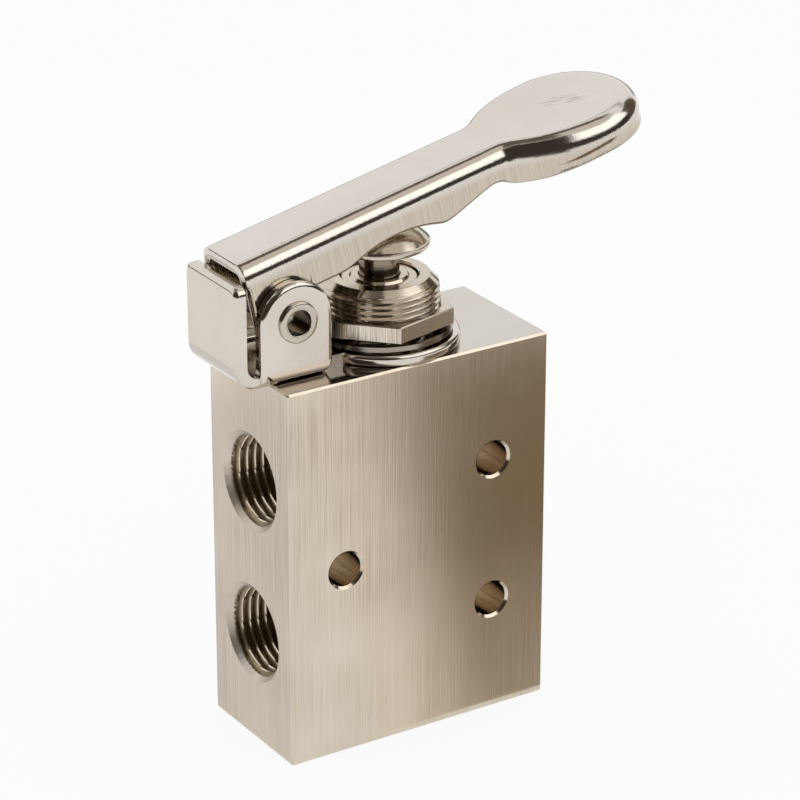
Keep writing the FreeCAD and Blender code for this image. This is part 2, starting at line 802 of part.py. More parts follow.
def make_bracket():
    """The pressed bracket: clamping ring, two ears for the pivot and the upright stop."""
    sheet_gauge = size("BracketSheet")
    top = size("PivotHeight") + size("EarRadius")
    bend = size("EarBendRadius")
    inner_bend = bend - sheet_gauge
    channel = free_sketch("EarChannel", UPRIGHT_YZ)
    draw_loop(channel, [
        (-ear_outside, top),
        (-ear_outside, bend, bend, 1),
        (-ear_outside + bend, ZERO),
        (ear_outside - bend, ZERO, bend, 1),
        (ear_outside, bend),
        (ear_outside, top),
        (ear_inside, top),
        (ear_inside, bend, inner_bend, -1),
        (ear_inside - inner_bend, sheet_gauge),
        (-ear_inside + inner_bend, sheet_gauge, inner_bend, -1),
        (-ear_inside, bend),
        (-ear_inside, top),
    ])
    reach = size("EarRadius")
    length = 2 * reach
    blank = extrude("EarBlank", channel, Vector(1, 0, 0), length)
    bind(blank, "Placement.Base.x", pivot_x - reach)
    outline = free_sketch("EarOutline", UPRIGHT_XZ)
    draw_loop(outline, [
        (pivot_x - reach, ZERO),
        (pivot_x + reach, ZERO),
        (pivot_x + reach, size("PivotHeight"), reach, 1),
        (pivot_x, top, reach, 1),
        (pivot_x - reach, size("PivotHeight")),
    ])
    trim = extrude("EarTrim", outline, Vector(0, 1, 0), 3 * ear_outside, symmetric=True)
    ears = combine("Common", "Ears", blank, trim)

    def is_ear_rim(edge):
        box = edge.BoundBox
        outer = near(abs(box.YMin), ear_outside) and near(abs(box.YMax), ear_outside)
        return outer and box.YLength < TINY and box.ZMax > bend.value + TINY

    rims = [number for number, edge in enumerate(ears.Shape.Edges, start=1) if is_ear_rim(edge)]
    rounding = size("EarRound").value
    soft_ears = round_edges("SoftEars", ears, {number: (rounding, rounding) for number in rims})

    stop_face = -(block_half_width + size("StopOverhang"))
    curl = size("StopBendRadius")
    inner_curl = curl - sheet_gauge
    angle = free_sketch("StopProfile", UPRIGHT_XZ)
    draw_loop(angle, [
        (pivot_x - reach / 2, ZERO),
        (stop_face + curl, ZERO, curl, -1),
        (stop_face, curl),
        (stop_face, size("StopHeight")),
        (stop_face + sheet_gauge, size("StopHeight")),
        (stop_face + sheet_gauge, curl, inner_curl, 1),
        (stop_face + curl, sheet_gauge),
        (pivot_x - reach / 2, sheet_gauge),
    ])
    stop = extrude("StopPlate", angle, Vector(0, 1, 0), 2 * size("StopHalfWidth"), symmetric=True)

    def is_stop_corner(edge):
        box = edge.BoundBox
        return box.XLength > TINY and box.YLength < TINY and near(box.ZMin, size("StopHeight"))

    corners = [number for number, edge in enumerate(stop.Shape.Edges, start=1) if is_stop_corner(edge)]
    rounding = size("StopCornerRadius").value
    cornered = round_edges("StopCorners", stop, {number: (rounding, rounding) for number in corners})

    def is_stop_rim(edge):
        box = edge.BoundBox
        outer = near(box.XMin, stop_face) and box.XLength < TINY
        return outer and box.ZMax > curl.value + TINY

    rims = [number for number, edge in enumerate(cornered.Shape.Edges, start=1) if is_stop_rim(edge)]
    rounding = size("StopRound").value
    soft_stop = round_edges("SoftStop", cornered, {number: (rounding, rounding) for number in rims})

    strip = free_sketch("StripOutline", FLAT)
    draw_loop(strip, [
        (pivot_x - reach / 2, -size("BaseHalfWidth")),
        (ZERO, -size("BaseHalfWidth")),
        (ZERO, size("BaseHalfWidth")),
        (pivot_x - reach / 2, size("BaseHalfWidth")),
    ])
    neck_strip = extrude("BaseStrip", strip, Vector(0, 0, 1), sheet_gauge)
    disc = free_sketch("RingOutline", FLAT)
    draw_circle(disc, size("RingOffset"), ZERO, ring_radius)
    ring = extrude("RingDisc", disc, Vector(0, 0, 1), sheet_gauge)
    rims = [number for number, edge in enumerate(ring.Shape.Edges, start=1) if edge.Closed]
    rounding = size("RingRound").value
    soft_ring = round_edges("SoftRing", ring, {number: (rounding, rounding) for number in rims})

    whole = doc.addObject("Part::MultiFuse", "BracketBlank")
    whole.Shapes = [soft_ears, soft_stop, neck_strip, soft_ring]
    doc.recompute()
    neck_hole = doc.addObject("Part::Cylinder", "NeckHole")
    bind(neck_hole, "Radius", neck_bore)
    bind(neck_hole, "Height", 2 * sheet_gauge)
    pierced = combine("Cut", "PiercedBracket", whole, neck_hole)
    pin_hole = doc.addObject("Part::Cylinder", "PinHole")
    bind(pin_hole, "Radius", size("RivetRadius") + size("SeatGap"))
    bind(pin_hole, "Height", 3 * ear_outside)
    pin_hole.Placement = Placement(Vector(), Rotation(Vector(1, 0, 0), 90))
    bind(pin_hole, "Placement.Base.x", pivot_x)
    bind(pin_hole, "Placement.Base.y", 1.5 * ear_outside)
    bind(pin_hole, "Placement.Base.z", size("PivotHeight"))
    bracket = combine("Cut", "LeverBracket", pierced, pin_hole)
    bracket.Label = "lever_bracket"
    lift(bracket, block_height)


def make_rivet():
    """The hollow rivet, its two lips rolled over the ears."""
    radius = size("RivetRadius")
    bore = radius - size("RivetWall")
    lip = radius + size("RivetLip")
    grip = ear_outside + size("SeatGap")
    end = grip + size("RivetLipHeight")
    roll = size("RivetLipHeight")
    body = new_body("pivot_rivet")
    sketch = body_sketch(body, "Section", "XY_Plane")
    draw_loop(sketch, [
        (bore, -end),
        (lip - roll, -end, roll, 1),
        (lip, -grip),
        (radius, -grip),
        (radius, grip),
        (lip, grip, roll, 1),
        (lip - roll, end),
        (bore, end),
    ])
    feature = body.newObject("PartDesign::Revolution", "Rivet")
    feature.Profile = sketch
    feature.ReferenceAxis = (sketch, ["V_Axis"])
    feature.Angle = FULL_TURN
    bind(body, "Placement.Base.x", pivot_x)
    lift(body, pivot_z)
    doc.recompute()


def lever_form(name, inset):
    """The lever's outer form, or with an inset its hollow: arm and pad under one rounded top edge.

    Seen from above, a straight arm runs through a concave fillet on each side into a flaring flank,
    and the two flanks close in a half round at the pad's end.
    """
    half = size("LeverHalfWidth") - inset
    pad_radius = thumb_radius - inset
    flank = size("PadFlankRadius") - inset
    fillet = size("NeckFillet") + inset
    reach = size("PadReach")
    # The flank's centre lies across the middle line; the fillet touches the flank and the arm
    span = flank + fillet
    across = half + fillet + flank - pad_radius
    along = (span * span - across * across).root()
    start = reach - along
    meet = reach - along * flank / span
    meet_side = across * flank / span - flank + pad_radius
    heel = -size("LeverHeel") - inset
    sketch = free_sketch(name + "Plan", FLAT)
    draw_loop(sketch, [
        (heel, -half),
        (start, -half, fillet, -1),
        (meet, -meet_side, flank, 1),
        (reach, -pad_radius, pad_radius, 1),
        (reach + pad_radius, ZERO, pad_radius, 1),
        (reach, pad_radius, flank, 1),
        (meet, meet_side, fillet, -1),
        (start, half),
        (heel, half),
    ])
    blank = extrude(name + "Blank", sketch, Vector(0, 0, 1), size("LeverTop") + size("LeverLobe") - inset)
    bind(blank, "Placement.Base.z", -size("LeverLobe"))
    doc.recompute()
    top = size("LeverTop") - inset

    def is_top_rim(edge):
        return on_plane(edge, "z", top) and not on_plane(edge, "x", heel)

    rims = [number for number, edge in enumerate(blank.Shape.Edges, start=1) if is_top_rim(edge)]
    rounding = (size("LeverBend") - inset).value
    return round_edges(name, blank, {number: (rounding, rounding) for number in rims})


def make_lever():
    """The pressed lever: a channel with round lobes at the pivot and a spoon-shaped thumb pad."""
    outer = lever_form("LeverOutside", ZERO)
    hollow = lever_form("LeverInside", size("LeverSheet"))
    channel = combine("Cut", "LeverChannel", outer, hollow)
    lobe = size("LeverLobe")
    foot = size("WallFoot")
    lobe_x = (lobe * lobe - foot * foot).root()
    end = size("PadReach") + thumb_radius + size("LeverSheet")
    roof = size("LeverTop") + size("LeverSheet")
    profile = free_sketch("LeverSideView", UPRIGHT_XZ)
    draw_loop(profile, [
        (-lobe, ZERO, lobe, 1),
        (ZERO, -lobe, lobe, 1),
        (lobe_x, foot),
        (size("ArchStart"), foot, size("ArchRadius"), -1),
        (size("ArchEnd"), foot),
        (size("NotchReach"), size("NotchFoot")),
        (size("SkirtReach"), size("SkirtFoot")),
        (size("SkirtReach") + size("NeckFillet"), size("SkirtFoot")),
        (size("RimReach"), size("RimFoot")),
        (end, size("RimFoot")),
        (end, roof),
        (-size("LeverHeel"), roof),
        (-size("LeverHeel"), size("LeverTop") - size("LeverSheet")),
        (-lobe, size("LeverTop") - 2 * size("LeverSheet")),
    ])
    side = extrude("LeverSide", profile, Vector(0, 1, 0), 3 * thumb_radius, symmetric=True)
    shaped = combine("Common", "ShapedLever", channel, side)
    hole = doc.addObject("Part::Cylinder", "LeverHole")
    bind(hole, "Radius", size("RivetRadius") + size("RunningFit"))
    bind(hole, "Height", 3 * size("LeverHalfWidth"))
    hole.Placement = Placement(Vector(), Rotation(Vector(1, 0, 0), 90))
    bind(hole, "Placement.Base.y", 1.5 * size("LeverHalfWidth"))
    lever = combine("Cut", "Lever", shaped, hole)
    lever.Label = "lever"
    lever.Placement = Placement(Vector(), Rotation(Vector(0, -1, 0), 1))
    bind(lever, "Placement.Base.x", pivot_x)
    lift(lever, pivot_z)
    bind(lever, "Placement.Rotation.Angle", size("LeverTilt"))


NODES = [
    "valve_body", "neck_bush", "guide_bush", "lever_bracket", "lock_washer", "panel_nut",
    "pivot_rivet", "lever", "plunger_head", "spool", "spring_collar", "stem_clip",
    "return_spring", "seal_retainer", "sleeve_supply", "sleeve_outlet", "sleeve_exhaust",
    "seal_ring_1", "seal_ring_2", "seal_ring_3", "seal_ring_4", "bottom_plug", "plug_seal",
]

make_valve_body()
make_neck()
make_seal_stack()
make_bottom_plug()
make_plunger()
make_return_spring()
make_nut()
make_lock_washer()
make_bracket()
make_rivet()
make_lever()
doc.recompute()

for item in doc.Objects:
    faults = [state for state in item.State if re.search("Invalid|Error", state)]
    if faults:
        raise ValueError(f"{item.Label}: {faults}")

os.makedirs("parts", exist_ok=True)
for node in NODES:
    piece = next(item for item in doc.Objects if item.Label == node)
    shape = piece.Shape
    if shape.isNull() or not shape.isValid() or not shape.Solids:
        raise ValueError(f"{node}: shape is not a valid solid")
    shape.exportStep(f"parts/{node}.step")
    box = shape.BoundBox
    reach = [f"{edge:.2f}" for edge in (box.XMin, box.XMax, box.YMin, box.YMax, box.ZMin, box.ZMax)]
    print(f"{node:16s} {len(shape.Solids)} solid {shape.Volume:9.2f} mm3  x y z from and to", *reach)
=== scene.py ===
# %% [markdown]
# # A small lever valve in nickel plate
#
# The valve is a milled block with threaded ports, a threaded neck with its nut and washers, a pressed
# bracket and a pressed thumb lever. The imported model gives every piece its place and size. This script
# gives them their looks: real threads, the soft pressed forms and the plated finishes.

# %% Load the frame
import json
from math import cos, pi, radians, sin, sqrt

import bmesh
import bpy
import numpy as np
from mathutils import Matrix, Vector


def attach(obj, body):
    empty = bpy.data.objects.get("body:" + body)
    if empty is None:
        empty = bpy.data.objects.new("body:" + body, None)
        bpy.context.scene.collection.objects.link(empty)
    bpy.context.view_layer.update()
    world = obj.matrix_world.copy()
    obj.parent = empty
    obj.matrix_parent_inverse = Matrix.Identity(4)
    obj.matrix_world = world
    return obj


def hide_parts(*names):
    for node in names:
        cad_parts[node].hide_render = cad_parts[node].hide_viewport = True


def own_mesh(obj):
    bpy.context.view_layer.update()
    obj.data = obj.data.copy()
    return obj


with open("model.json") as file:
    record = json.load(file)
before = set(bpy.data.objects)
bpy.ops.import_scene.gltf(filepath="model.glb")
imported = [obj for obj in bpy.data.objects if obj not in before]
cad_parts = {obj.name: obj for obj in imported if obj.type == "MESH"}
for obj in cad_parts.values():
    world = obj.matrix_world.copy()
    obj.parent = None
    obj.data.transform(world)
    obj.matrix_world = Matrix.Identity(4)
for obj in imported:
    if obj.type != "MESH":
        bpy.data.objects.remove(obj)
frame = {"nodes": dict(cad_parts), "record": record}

MM = 0.001
NODES = frame["nodes"]
scene = bpy.context.scene
bpy.context.view_layer.update()

# %% [markdown]
# ## Camera
#
# The photograph was taken with a long lens from the left and a little above. The camera's place is given
# by its azimuth and elevation and by how far the block's foot lies below and beside the view's middle.

# %% Camera at the photograph's angle
IMAGE_WIDTH_PX = 800
FOCAL_LENGTH_PX = 3537.0
SENSOR_WIDTH_MM = 36.0
AZIMUTH, ELEVATION, ROLL = radians(-32.579), radians(23.337), radians(0.044)
ASIDE_MM, ABOVE_MM, BACK_MM = 2.063, 30.686, 363.827

back = Vector((sin(AZIMUTH) * cos(ELEVATION), -cos(AZIMUTH) * cos(ELEVATION), sin(ELEVATION)))
right = Vector((cos(AZIMUTH), sin(AZIMUTH), 0))
right, up = (Matrix.Rotation(ROLL, 3, back) @ axis for axis in (right, back.cross(right)))

camera = bpy.data.objects.new("camera", bpy.data.cameras.new("camera"))
camera.data.sensor_width = SENSOR_WIDTH_MM
camera.data.lens = FOCAL_LENGTH_PX / IMAGE_WIDTH_PX * SENSOR_WIDTH_MM
camera.data.clip_start, camera.data.clip_end = 0.01, 20
place = (right * ASIDE_MM + up * ABOVE_MM + back * BACK_MM) * MM
camera.matrix_world = Matrix.Translation(place) @ Matrix((right, up, back)).transposed().to_4x4()
scene.collection.objects.link(camera)
scene.camera = camera
print("camera stands at", [round(v / MM) for v in place], "mm with a lens of",
      round(camera.data.lens, 1), "mm")

# %% [markdown]
# ## Colour and nodes
#
# Colours are written as sRGB hex, the way a picture shows them, and turned into the linear numbers that
# the renderer works with. One small function adds a shader node, sets it and links it. All the metals end
# in the same way: a fine relief bends the reflections, and colour and roughness go to the surface.

# %% Colour and node helpers


def linear(hex_colour):
    """Linear RGBA of an sRGB hex colour: a straight part near black and a power of 2.4 above it."""
    parts = [int(hex_colour[i:i + 2], 16) / 255 for i in (1, 3, 5)]
    return tuple(p / 12.92 if p <= 0.04045 else ((p + 0.055) / 1.055) ** 2.4 for p in parts) + (1.0,)


def add_node(tree, kind, inputs=None, **settings):
    """Adds a node; inputs maps a socket's name or number to a value or to the socket that feeds it."""
    node = tree.nodes.new(kind)
    for name, value in settings.items():
        setattr(node, name, value)
    for name, value in (inputs or {}).items():
        if isinstance(value, bpy.types.NodeSocket):
            tree.links.new(value, node.inputs[name])
        else:
            node.inputs[name].default_value = value
    return node


def new_material(name):
    """An empty material, its node tree, its output node and the socket of each point's place."""
    material = bpy.data.materials.new(name)
    material.use_nodes = True
    tree = material.node_tree
    tree.nodes.clear()
    return (material, tree, add_node(tree, "ShaderNodeOutputMaterial"),
            add_node(tree, "ShaderNodeTexCoord").outputs["Object"])


def end_in_metal(tree, output, tint, tones, rough, relief, strength, depth_mm):
    """A metal between two tones by the tint, its light bent by strength times depth times the relief."""
    first, second = (linear(tone) if isinstance(tone, str) else tone for tone in tones)
    colour = add_node(tree, "ShaderNodeMix", {"Factor": tint, 6: first, 7: second}, data_type="RGBA")
    bump = add_node(tree, "ShaderNodeBump", {
        "Height": relief, "Strength": strength, "Distance": depth_mm * MM})
    metal = add_node(tree, "ShaderNodeBsdfPrincipled", {
        "Base Color": colour.outputs[2], "Metallic": 1.0, "Roughness": rough, "Normal": bump.outputs[0]})
    tree.links.new(metal.outputs[0], output.inputs["Surface"])


# %% [markdown]
# ## Studio
#
# Polished metal shows its surroundings more than its own colour, so the studio is part of the finish. It
# has a pale floor and an even white room. As a product photographer would do, softboxes and dark cards
# stand round the valve. They are patches of a large sphere that only reflections see, given by compass
# angle and height angle, and they draw the bright and black bands along every rounded edge.

# %% Room and floor
ROOM_LIGHT = 0.85
FLOOR_GLOW = 0.88
FLOOR_SIZE = 6.0
FLOOR_DROP_MM = 0.02

scene.view_settings.view_transform = "Standard"


def seen_directly(tree):
    """A socket that is 1 for rays from the camera, from a reflection or through glass, and 0 for others."""
    path = add_node(tree, "ShaderNodeLightPath")
    seen = path.outputs["Is Camera Ray"]
    for ray in ("Is Glossy Ray", "Is Transmission Ray"):
        either = add_node(tree, "ShaderNodeMath", {0: seen, 1: path.outputs[ray]}, operation="MAXIMUM")
        seen = either.outputs[0]
    return seen


world = bpy.data.worlds.new("white_room")
world.use_nodes = True
world.node_tree.nodes.clear()
strength = add_node(world.node_tree, "ShaderNodeMapRange",
                    {"Value": seen_directly(world.node_tree), "To Min": ROOM_LIGHT, "To Max": 1.0})
room = add_node(world.node_tree, "ShaderNodeBackground",
                {"Color": linear("#ffffff"), "Strength": strength.outputs[0]})
add_node(world.node_tree, "ShaderNodeOutputWorld", {"Surface": room.outputs[0]})
scene.world = world

floor_paint, tree, output, _ = new_material("pale_floor")
glow = add_node(tree, "ShaderNodeEmission", {"Color": linear("#ffffff"), "Strength": seen_directly(tree)})
paint = add_node(tree, "ShaderNodeBsdfDiffuse", {"Color": linear("#f6f6f4")})
both = add_node(tree, "ShaderNodeMixShader", {0: FLOOR_GLOW, 1: paint.outputs[0], 2: glow.outputs[0]})
tree.links.new(both.outputs[0], output.inputs["Surface"])


def staged(name, points, quads, material):
    """A studio surface from points in metres: it isn't part of the valve."""
    mesh = bpy.data.meshes.new(name)
    mesh.from_pydata(points, [], quads)
    surface = bpy.data.objects.new(name, mesh)
    surface.data.materials.append(material)
    scene.collection.objects.link(surface)
    return surface


half = FLOOR_SIZE / 2
staged("floor", [(x, y, -FLOOR_DROP_MM * MM) for x, y in (
    (-half, -half), (half, -half), (half, half), (-half, half))], [(0, 1, 2, 3)], floor_paint)
print("room and floor are set")

# %% Softboxes and dark cards
SKY_RADIUS_MM = 900
SKY_STEP_DEGREES = 5
SKY = {
    # name: compass angles from the front towards the right, height angles, colour, strength
    "camera_side": ((-100, -4), (0, 62), "#3f3933", 1.0),
    "front_gap": ((-4, 80), (5, 25), "#3a342e", 1.0),
    "front_softbox": ((0, 78), (29, 57), "#fffcf8", 1.6),
    "right_card": ((80, 112), (5, 44), "#5a5148", 1.0),
    "skyline": ((122, 260), (0, 9), "#5f574e", 1.0),
    "back_bar": ((100, 260), (48, 50.5), "#5c544a", 1.0),
    "ceiling": ((-14, 100), (60, 90), "#dcd6cd", 1.0),
    "dim_ceiling": ((100, 346), (64, 90), "#6a6259", 1.0),
}


def studio_paint(name, colour, strength):
    """Paint that glows by itself, so that a card looks the same in any reflection."""
    material, tree, output, _ = new_material(name)
    paint = add_node(tree, "ShaderNodeEmission", {"Color": linear(colour), "Strength": strength})
    tree.links.new(paint.outputs[0], output.inputs["Surface"])
    return material


def only_in_reflections(card):
    """Hides a card from every ray but a reflected one."""
    for ray in ("camera", "diffuse", "transmission", "volume_scatter", "shadow"):
        setattr(card, f"visible_{ray}", False)


def sky_patch(name, compass, height, colour, strength):
    """A patch of a sphere round the valve: cos(height) sets its reach, sin(height) its rise."""
    turn = np.radians(np.linspace(*compass, int(abs(compass[1] - compass[0]) / SKY_STEP_DEGREES) + 2))
    climb = np.radians(np.linspace(*height, int(abs(height[1] - height[0]) / SKY_STEP_DEGREES) + 2))
    turn, climb = np.meshgrid(turn, climb)
    points = SKY_RADIUS_MM * MM * np.stack([
        np.sin(turn) * np.cos(climb), -np.cos(turn) * np.cos(climb), np.sin(climb)], -1)
    only_in_reflections(staged(
        name, points.reshape(-1, 3).tolist(), grid_faces(*turn.shape).tolist(),
        studio_paint(name, colour, strength)))


def grid_faces(rows, columns, close_rows=False, close_columns=False):
    """Corner numbers of the quads of a grid of points: each joins a point to its next row and column."""
    row = np.arange(rows if close_rows else rows - 1)[:, None]
    column = np.arange(columns if close_columns else columns - 1)[None, :]
    next_row, next_column = (row + 1) % rows, (column + 1) % columns
    return np.stack([row * columns + column, row * columns + next_column,
                     next_row * columns + next_column, next_row * columns + column], -1).reshape(-1, 4)


for patch_name, settings in SKY.items():
    sky_patch(patch_name, *settings)
print("studio has", len(SKY), "softboxes and cards")

# %% [markdown]
# ### Cards on the floor
#
# The block's wide side looks down on the floor in front of it, and in the photograph that side darkens
# softly towards the right. A photographer gets this by laying a dark cloth there. Its tone and its soft
# left edge come from its own nodes, because a plain card would draw a hard line across the metal. A pale
# card at the left does the same for the narrow side.

# %% Dark cloth and pale card
CARD_RISE_MM = 0.05
CLOTH_MM = ((-4, -8.5), (9, -33), (43, -95), (115, -95), (115, -8.5))
CLOTH_NEAR_MM, CLOTH_FAR_MM = -12, -42
CLOTH_SLANT, CLOTH_FADE_MM = 0.545, (-7.5, 6.5)
GREY_CARD_MM = ((-66, -8), (-15.3, -8), (-15.3, 80), (-66, 80))


def shaded_cloth():
    """Cloth that is pale near the valve and dark from its middle on, and that fades in from its left edge.

    Both are read from the cloth's own place: the first from Y, the second from X + slant * Y.
    """
    material, tree, output, place = new_material("dark_cloth")
    away = add_node(tree, "ShaderNodeMapRange", {
        "Value": add_node(tree, "ShaderNodeSeparateXYZ", {0: place}).outputs["Y"],
        "From Min": CLOTH_NEAR_MM * MM, "From Max": CLOTH_FAR_MM * MM})
    colour = add_node(tree, "ShaderNodeMix", {
        "Factor": away.outputs[0], 6: linear("#b6ac9e"), 7: linear("#887965")}, data_type="RGBA")
    across = add_node(tree, "ShaderNodeVectorMath", {0: place, 1: (1, CLOTH_SLANT, 0)},
                      operation="DOT_PRODUCT")
    fade = add_node(tree, "ShaderNodeMapRange", {
        "Value": across.outputs["Value"], "From Min": CLOTH_FADE_MM[0] * MM,
        "From Max": CLOTH_FADE_MM[1] * MM}, interpolation_type="SMOOTHSTEP")
    faded = add_node(tree, "ShaderNodeMix", {
        "Factor": fade.outputs[0], 6: linear("#f6f2ec"), 7: colour.outputs[2]}, data_type="RGBA")
    paint = add_node(tree, "ShaderNodeEmission", {"Color": faded.outputs[2]})
    tree.links.new(paint.outputs[0], output.inputs["Surface"])
    return material


def floor_card(name, corners_mm, material):
    """A flat card just above the floor, from its (x, y) corners."""
    points = [(x * MM, y * MM, CARD_RISE_MM * MM) for x, y in corners_mm]
    only_in_reflections(staged(name, points, [tuple(range(len(points)))], material))


floor_card("dark_cloth", CLOTH_MM, shaded_cloth())
floor_card("grey_card", GREY_CARD_MM, studio_paint("grey_card", "#eaeaec", 1.0))
print("cloth starts", -CLOTH_MM[0][1] - 7.5, "mm in front of the block")

# %% [markdown]
# ### Lamp
#
# Light from all round leaves no shadow. One large, weak lamp high at the left adds the soft shadow that
# seats the block on the floor. Reflections don't see it, because the softboxes already stand for it.

# %% Soft lamp
LAMP_PLACE_MM, LAMP_SIZE_MM, LAMP_WATTS = (-260, -300, 520), 500, 0.6

lamp = bpy.data.objects.new("soft_lamp", bpy.data.lights.new("soft_lamp", "AREA"))
lamp.data.size, lamp.data.energy = LAMP_SIZE_MM * MM, LAMP_WATTS
lamp.location = Vector(LAMP_PLACE_MM) * MM
lamp.rotation_euler = lamp.location.to_track_quat("Z", "Y").to_euler()
lamp.visible_glossy = False
scene.collection.objects.link(lamp)
print("soft lamp stands", round(lamp.location.length / MM), "mm away")

# %% [markdown]
# ## Surfaces from numbers
#
# Every new piece is a grid of points worked out with numpy. A turned piece is a half profile swept round
# an axis. Its corners are rounded a little, because a perfectly sharp edge catches no light.

# %% New pieces and their shading
SMOOTH_UNDER = 35


def read(items, attribute, size=1, kind=float):
    """One attribute of all polygons, edges or corners of a mesh as a flat array."""
    values = np.empty(len(items) * size, kind)
    items.foreach_get(attribute, values)
    return values


def new_piece(name, points_mm, quads, smooth_under=SMOOTH_UNDER):
    """An object from points in millimetres: doubles merged, faces turned outwards, shallow edges smooth."""
    mesh = bpy.data.meshes.new(name)
    mesh.from_pydata((points_mm.reshape(-1, 3) * MM).tolist(), [], quads.tolist())
    tidy = bmesh.new()
    tidy.from_mesh(mesh)
    bmesh.ops.remove_doubles(tidy, verts=tidy.verts, dist=1e-8)
    bmesh.ops.recalc_face_normals(tidy, faces=tidy.faces)
    tidy.to_mesh(mesh)
    tidy.free()
    piece = bpy.data.objects.new(name, mesh)
    scene.collection.objects.link(piece)
    shade(piece, smooth_under)
    print(f"{name}: {len(mesh.vertices)} points, {len(mesh.polygons)} faces")
    return piece


def shade(piece, smooth_under, face_class=None):
    """Smooth shading across edges that turn by less than the given angle in degrees.

    Weighted normals keep large flat faces flat, so that only the roundings beside them look round. An
    edge between faces of different classes is sharp as well; the class is worked out from their centres.
    """
    mesh = piece.data
    mesh.shade_smooth()
    mesh.set_sharp_from_angle(angle=radians(smooth_under))
    if face_class:
        group = face_class(read(mesh.polygons, "center", 3).reshape(-1, 3) / MM)
        at_corner = np.repeat(group, read(mesh.polygons, "loop_total", kind=int))
        edge_of_corner = read(mesh.loops, "edge_index", kind=int)
        highest, lowest = np.full(len(mesh.edges), group.min()), np.full(len(mesh.edges), group.max())
        np.maximum.at(highest, edge_of_corner, at_corner)
        np.minimum.at(lowest, edge_of_corner, at_corner)
        sharp = read(mesh.edges, "use_edge_sharp", kind=bool) | (highest != lowest)
        mesh.edges.foreach_set("use_edge_sharp", sharp)
    piece.modifiers.new("weighted", "WEIGHTED_NORMAL").keep_sharp = True


# %% Outlines and turned pieces


def rounded(corners, steps=5):
    """Closed outline of (x, y, radius) corners, each replaced by an arc.

    The arc touches both sides at radius / tan(half the corner's angle) from the corner. Its points are
    the quadratic curve through both touching points with the corner as its middle control.
    """
    corner = np.array([c[:2] for c in corners], float)
    radius = np.array([c[2] if len(c) > 2 else 0 for c in corners], float)
    to_last, to_next = np.roll(corner, 1, 0) - corner, np.roll(corner, -1, 0) - corner
    to_last /= np.linalg.norm(to_last, axis=1, keepdims=True)
    to_next /= np.linalg.norm(to_next, axis=1, keepdims=True)
    half = np.arccos(np.clip((to_last * to_next).sum(1), -1, 1)) / 2
    reach = (radius / np.tan(half))[:, None]
    start, end = corner + to_last * reach, corner + to_next * reach
    share = np.linspace(0, 1, steps)[None, :, None]
    curve = ((1 - share) ** 2 * start[:, None] + 2 * share * (1 - share) * corner[:, None]
             + share ** 2 * end[:, None])
    kept = [curve[i] if radius[i] > 0 else corner[i:i + 1] for i in range(len(corner))]
    return np.concatenate(kept)


def turned(name, profile, segments=128, ripple=0.0, lobes=0, closed=True):
    """A piece turned on the Z axis from a (radius, height) outline in millimetres.

    A point of the outline goes to (radius cos angle, radius sin angle, height). A ripple swells the
    radius by a share that follows the sine of the angle times the number of lobes. An outline that
    starts and ends on the axis isn't closed: its poles close the piece.
    """
    angle = np.linspace(0, 2 * pi, segments, endpoint=False)[:, None]
    radius = profile[None, :, 0] * (1 + ripple * np.sin(lobes * angle))
    points = np.stack([radius * np.cos(angle), radius * np.sin(angle),
                       np.broadcast_to(profile[None, :, 1], radius.shape)], -1)
    return new_piece(name, points, grid_faces(segments, len(profile), True, closed))


# %% Finishes and places on the valve


def finish_where(piece, material, chosen):
    """Gives a further finish to the faces whose centres, in millimetres, the test chooses."""
    mesh = piece.data
    slot = read(mesh.polygons, "material_index", kind=int)
    slot[chosen(read(mesh.polygons, "center", 3).reshape(-1, 3) / MM)] = len(mesh.materials)
    mesh.materials.append(material)
    mesh.polygons.foreach_set("material_index", slot)


def mount(piece, body, node, material):
    """Puts a finished piece on its body in place of a CAD node, with its finish."""
    piece.data.materials.clear()
    piece.data.materials.append(material)
    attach(piece, body)
    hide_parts(node)


# %% [markdown]
# ## Nickel plate
#
# Block, neck and pressed parts are all electroplated with bright nickel, which is a warm grey mirror. What
# differs is the metal under it: the milled block keeps fine upright tool lines, turned pieces keep rings
# round their axis, and pressed sheet is smooth with a faint orange peel.

# %% Milled and plated block
# The real tool lines are finer than 0.1 mm; they are drawn wider here so that they show in the picture.
GRAIN_WIDTH_MM, GRAIN_STRETCH, WEAR_PATCH_MM = 0.16, 90, 9
# Nearly all of a noise's values lie in this span, so a pattern is stretched from it.
NOISE_SPAN = {"From Min": 0.3, "From Max": 0.7}


def milled_nickel():
    """Nickel over milled brass: upright lines that dim and brighten the shine, wider patches of wear."""
    material, tree, output, place = new_material("nickel_plate_on_milled_brass")
    fine = 1 / (GRAIN_WIDTH_MM * MM)
    lines = add_node(tree, "ShaderNodeMapping", {
        "Vector": place, "Scale": (fine, fine, fine / GRAIN_STRETCH)})
    grain = add_node(tree, "ShaderNodeTexNoise", {
        "Vector": lines.outputs[0], "Scale": 1.0, "Detail": 3.0, "Roughness": 0.65})
    patches = add_node(tree, "ShaderNodeTexNoise", {
        "Vector": place, "Scale": 1 / (WEAR_PATCH_MM * MM), "Detail": 2.0})
    worn = add_node(tree, "ShaderNodeMapRange", {
        "Value": patches.outputs[0], "From Min": 0.35, "From Max": 0.65, "To Min": 0.25, "To Max": 1.0})
    contrast = add_node(tree, "ShaderNodeMapRange", {"Value": grain.outputs[0], **NOISE_SPAN})
    tint = add_node(tree, "ShaderNodeMath", {0: contrast.outputs[0], 1: worn.outputs[0]},
                    operation="MULTIPLY")
    rough = add_node(tree, "ShaderNodeMapRange", {"Value": tint.outputs[0], "To Min": 0.12, "To Max": 0.27})
    end_in_metal(tree, output, tint.outputs[0], ("#dacfbf", "#bfb19e"), rough.outputs[0],
                 grain.outputs[0], 0.16, 0.03)
    return material


block_finish = milled_nickel()

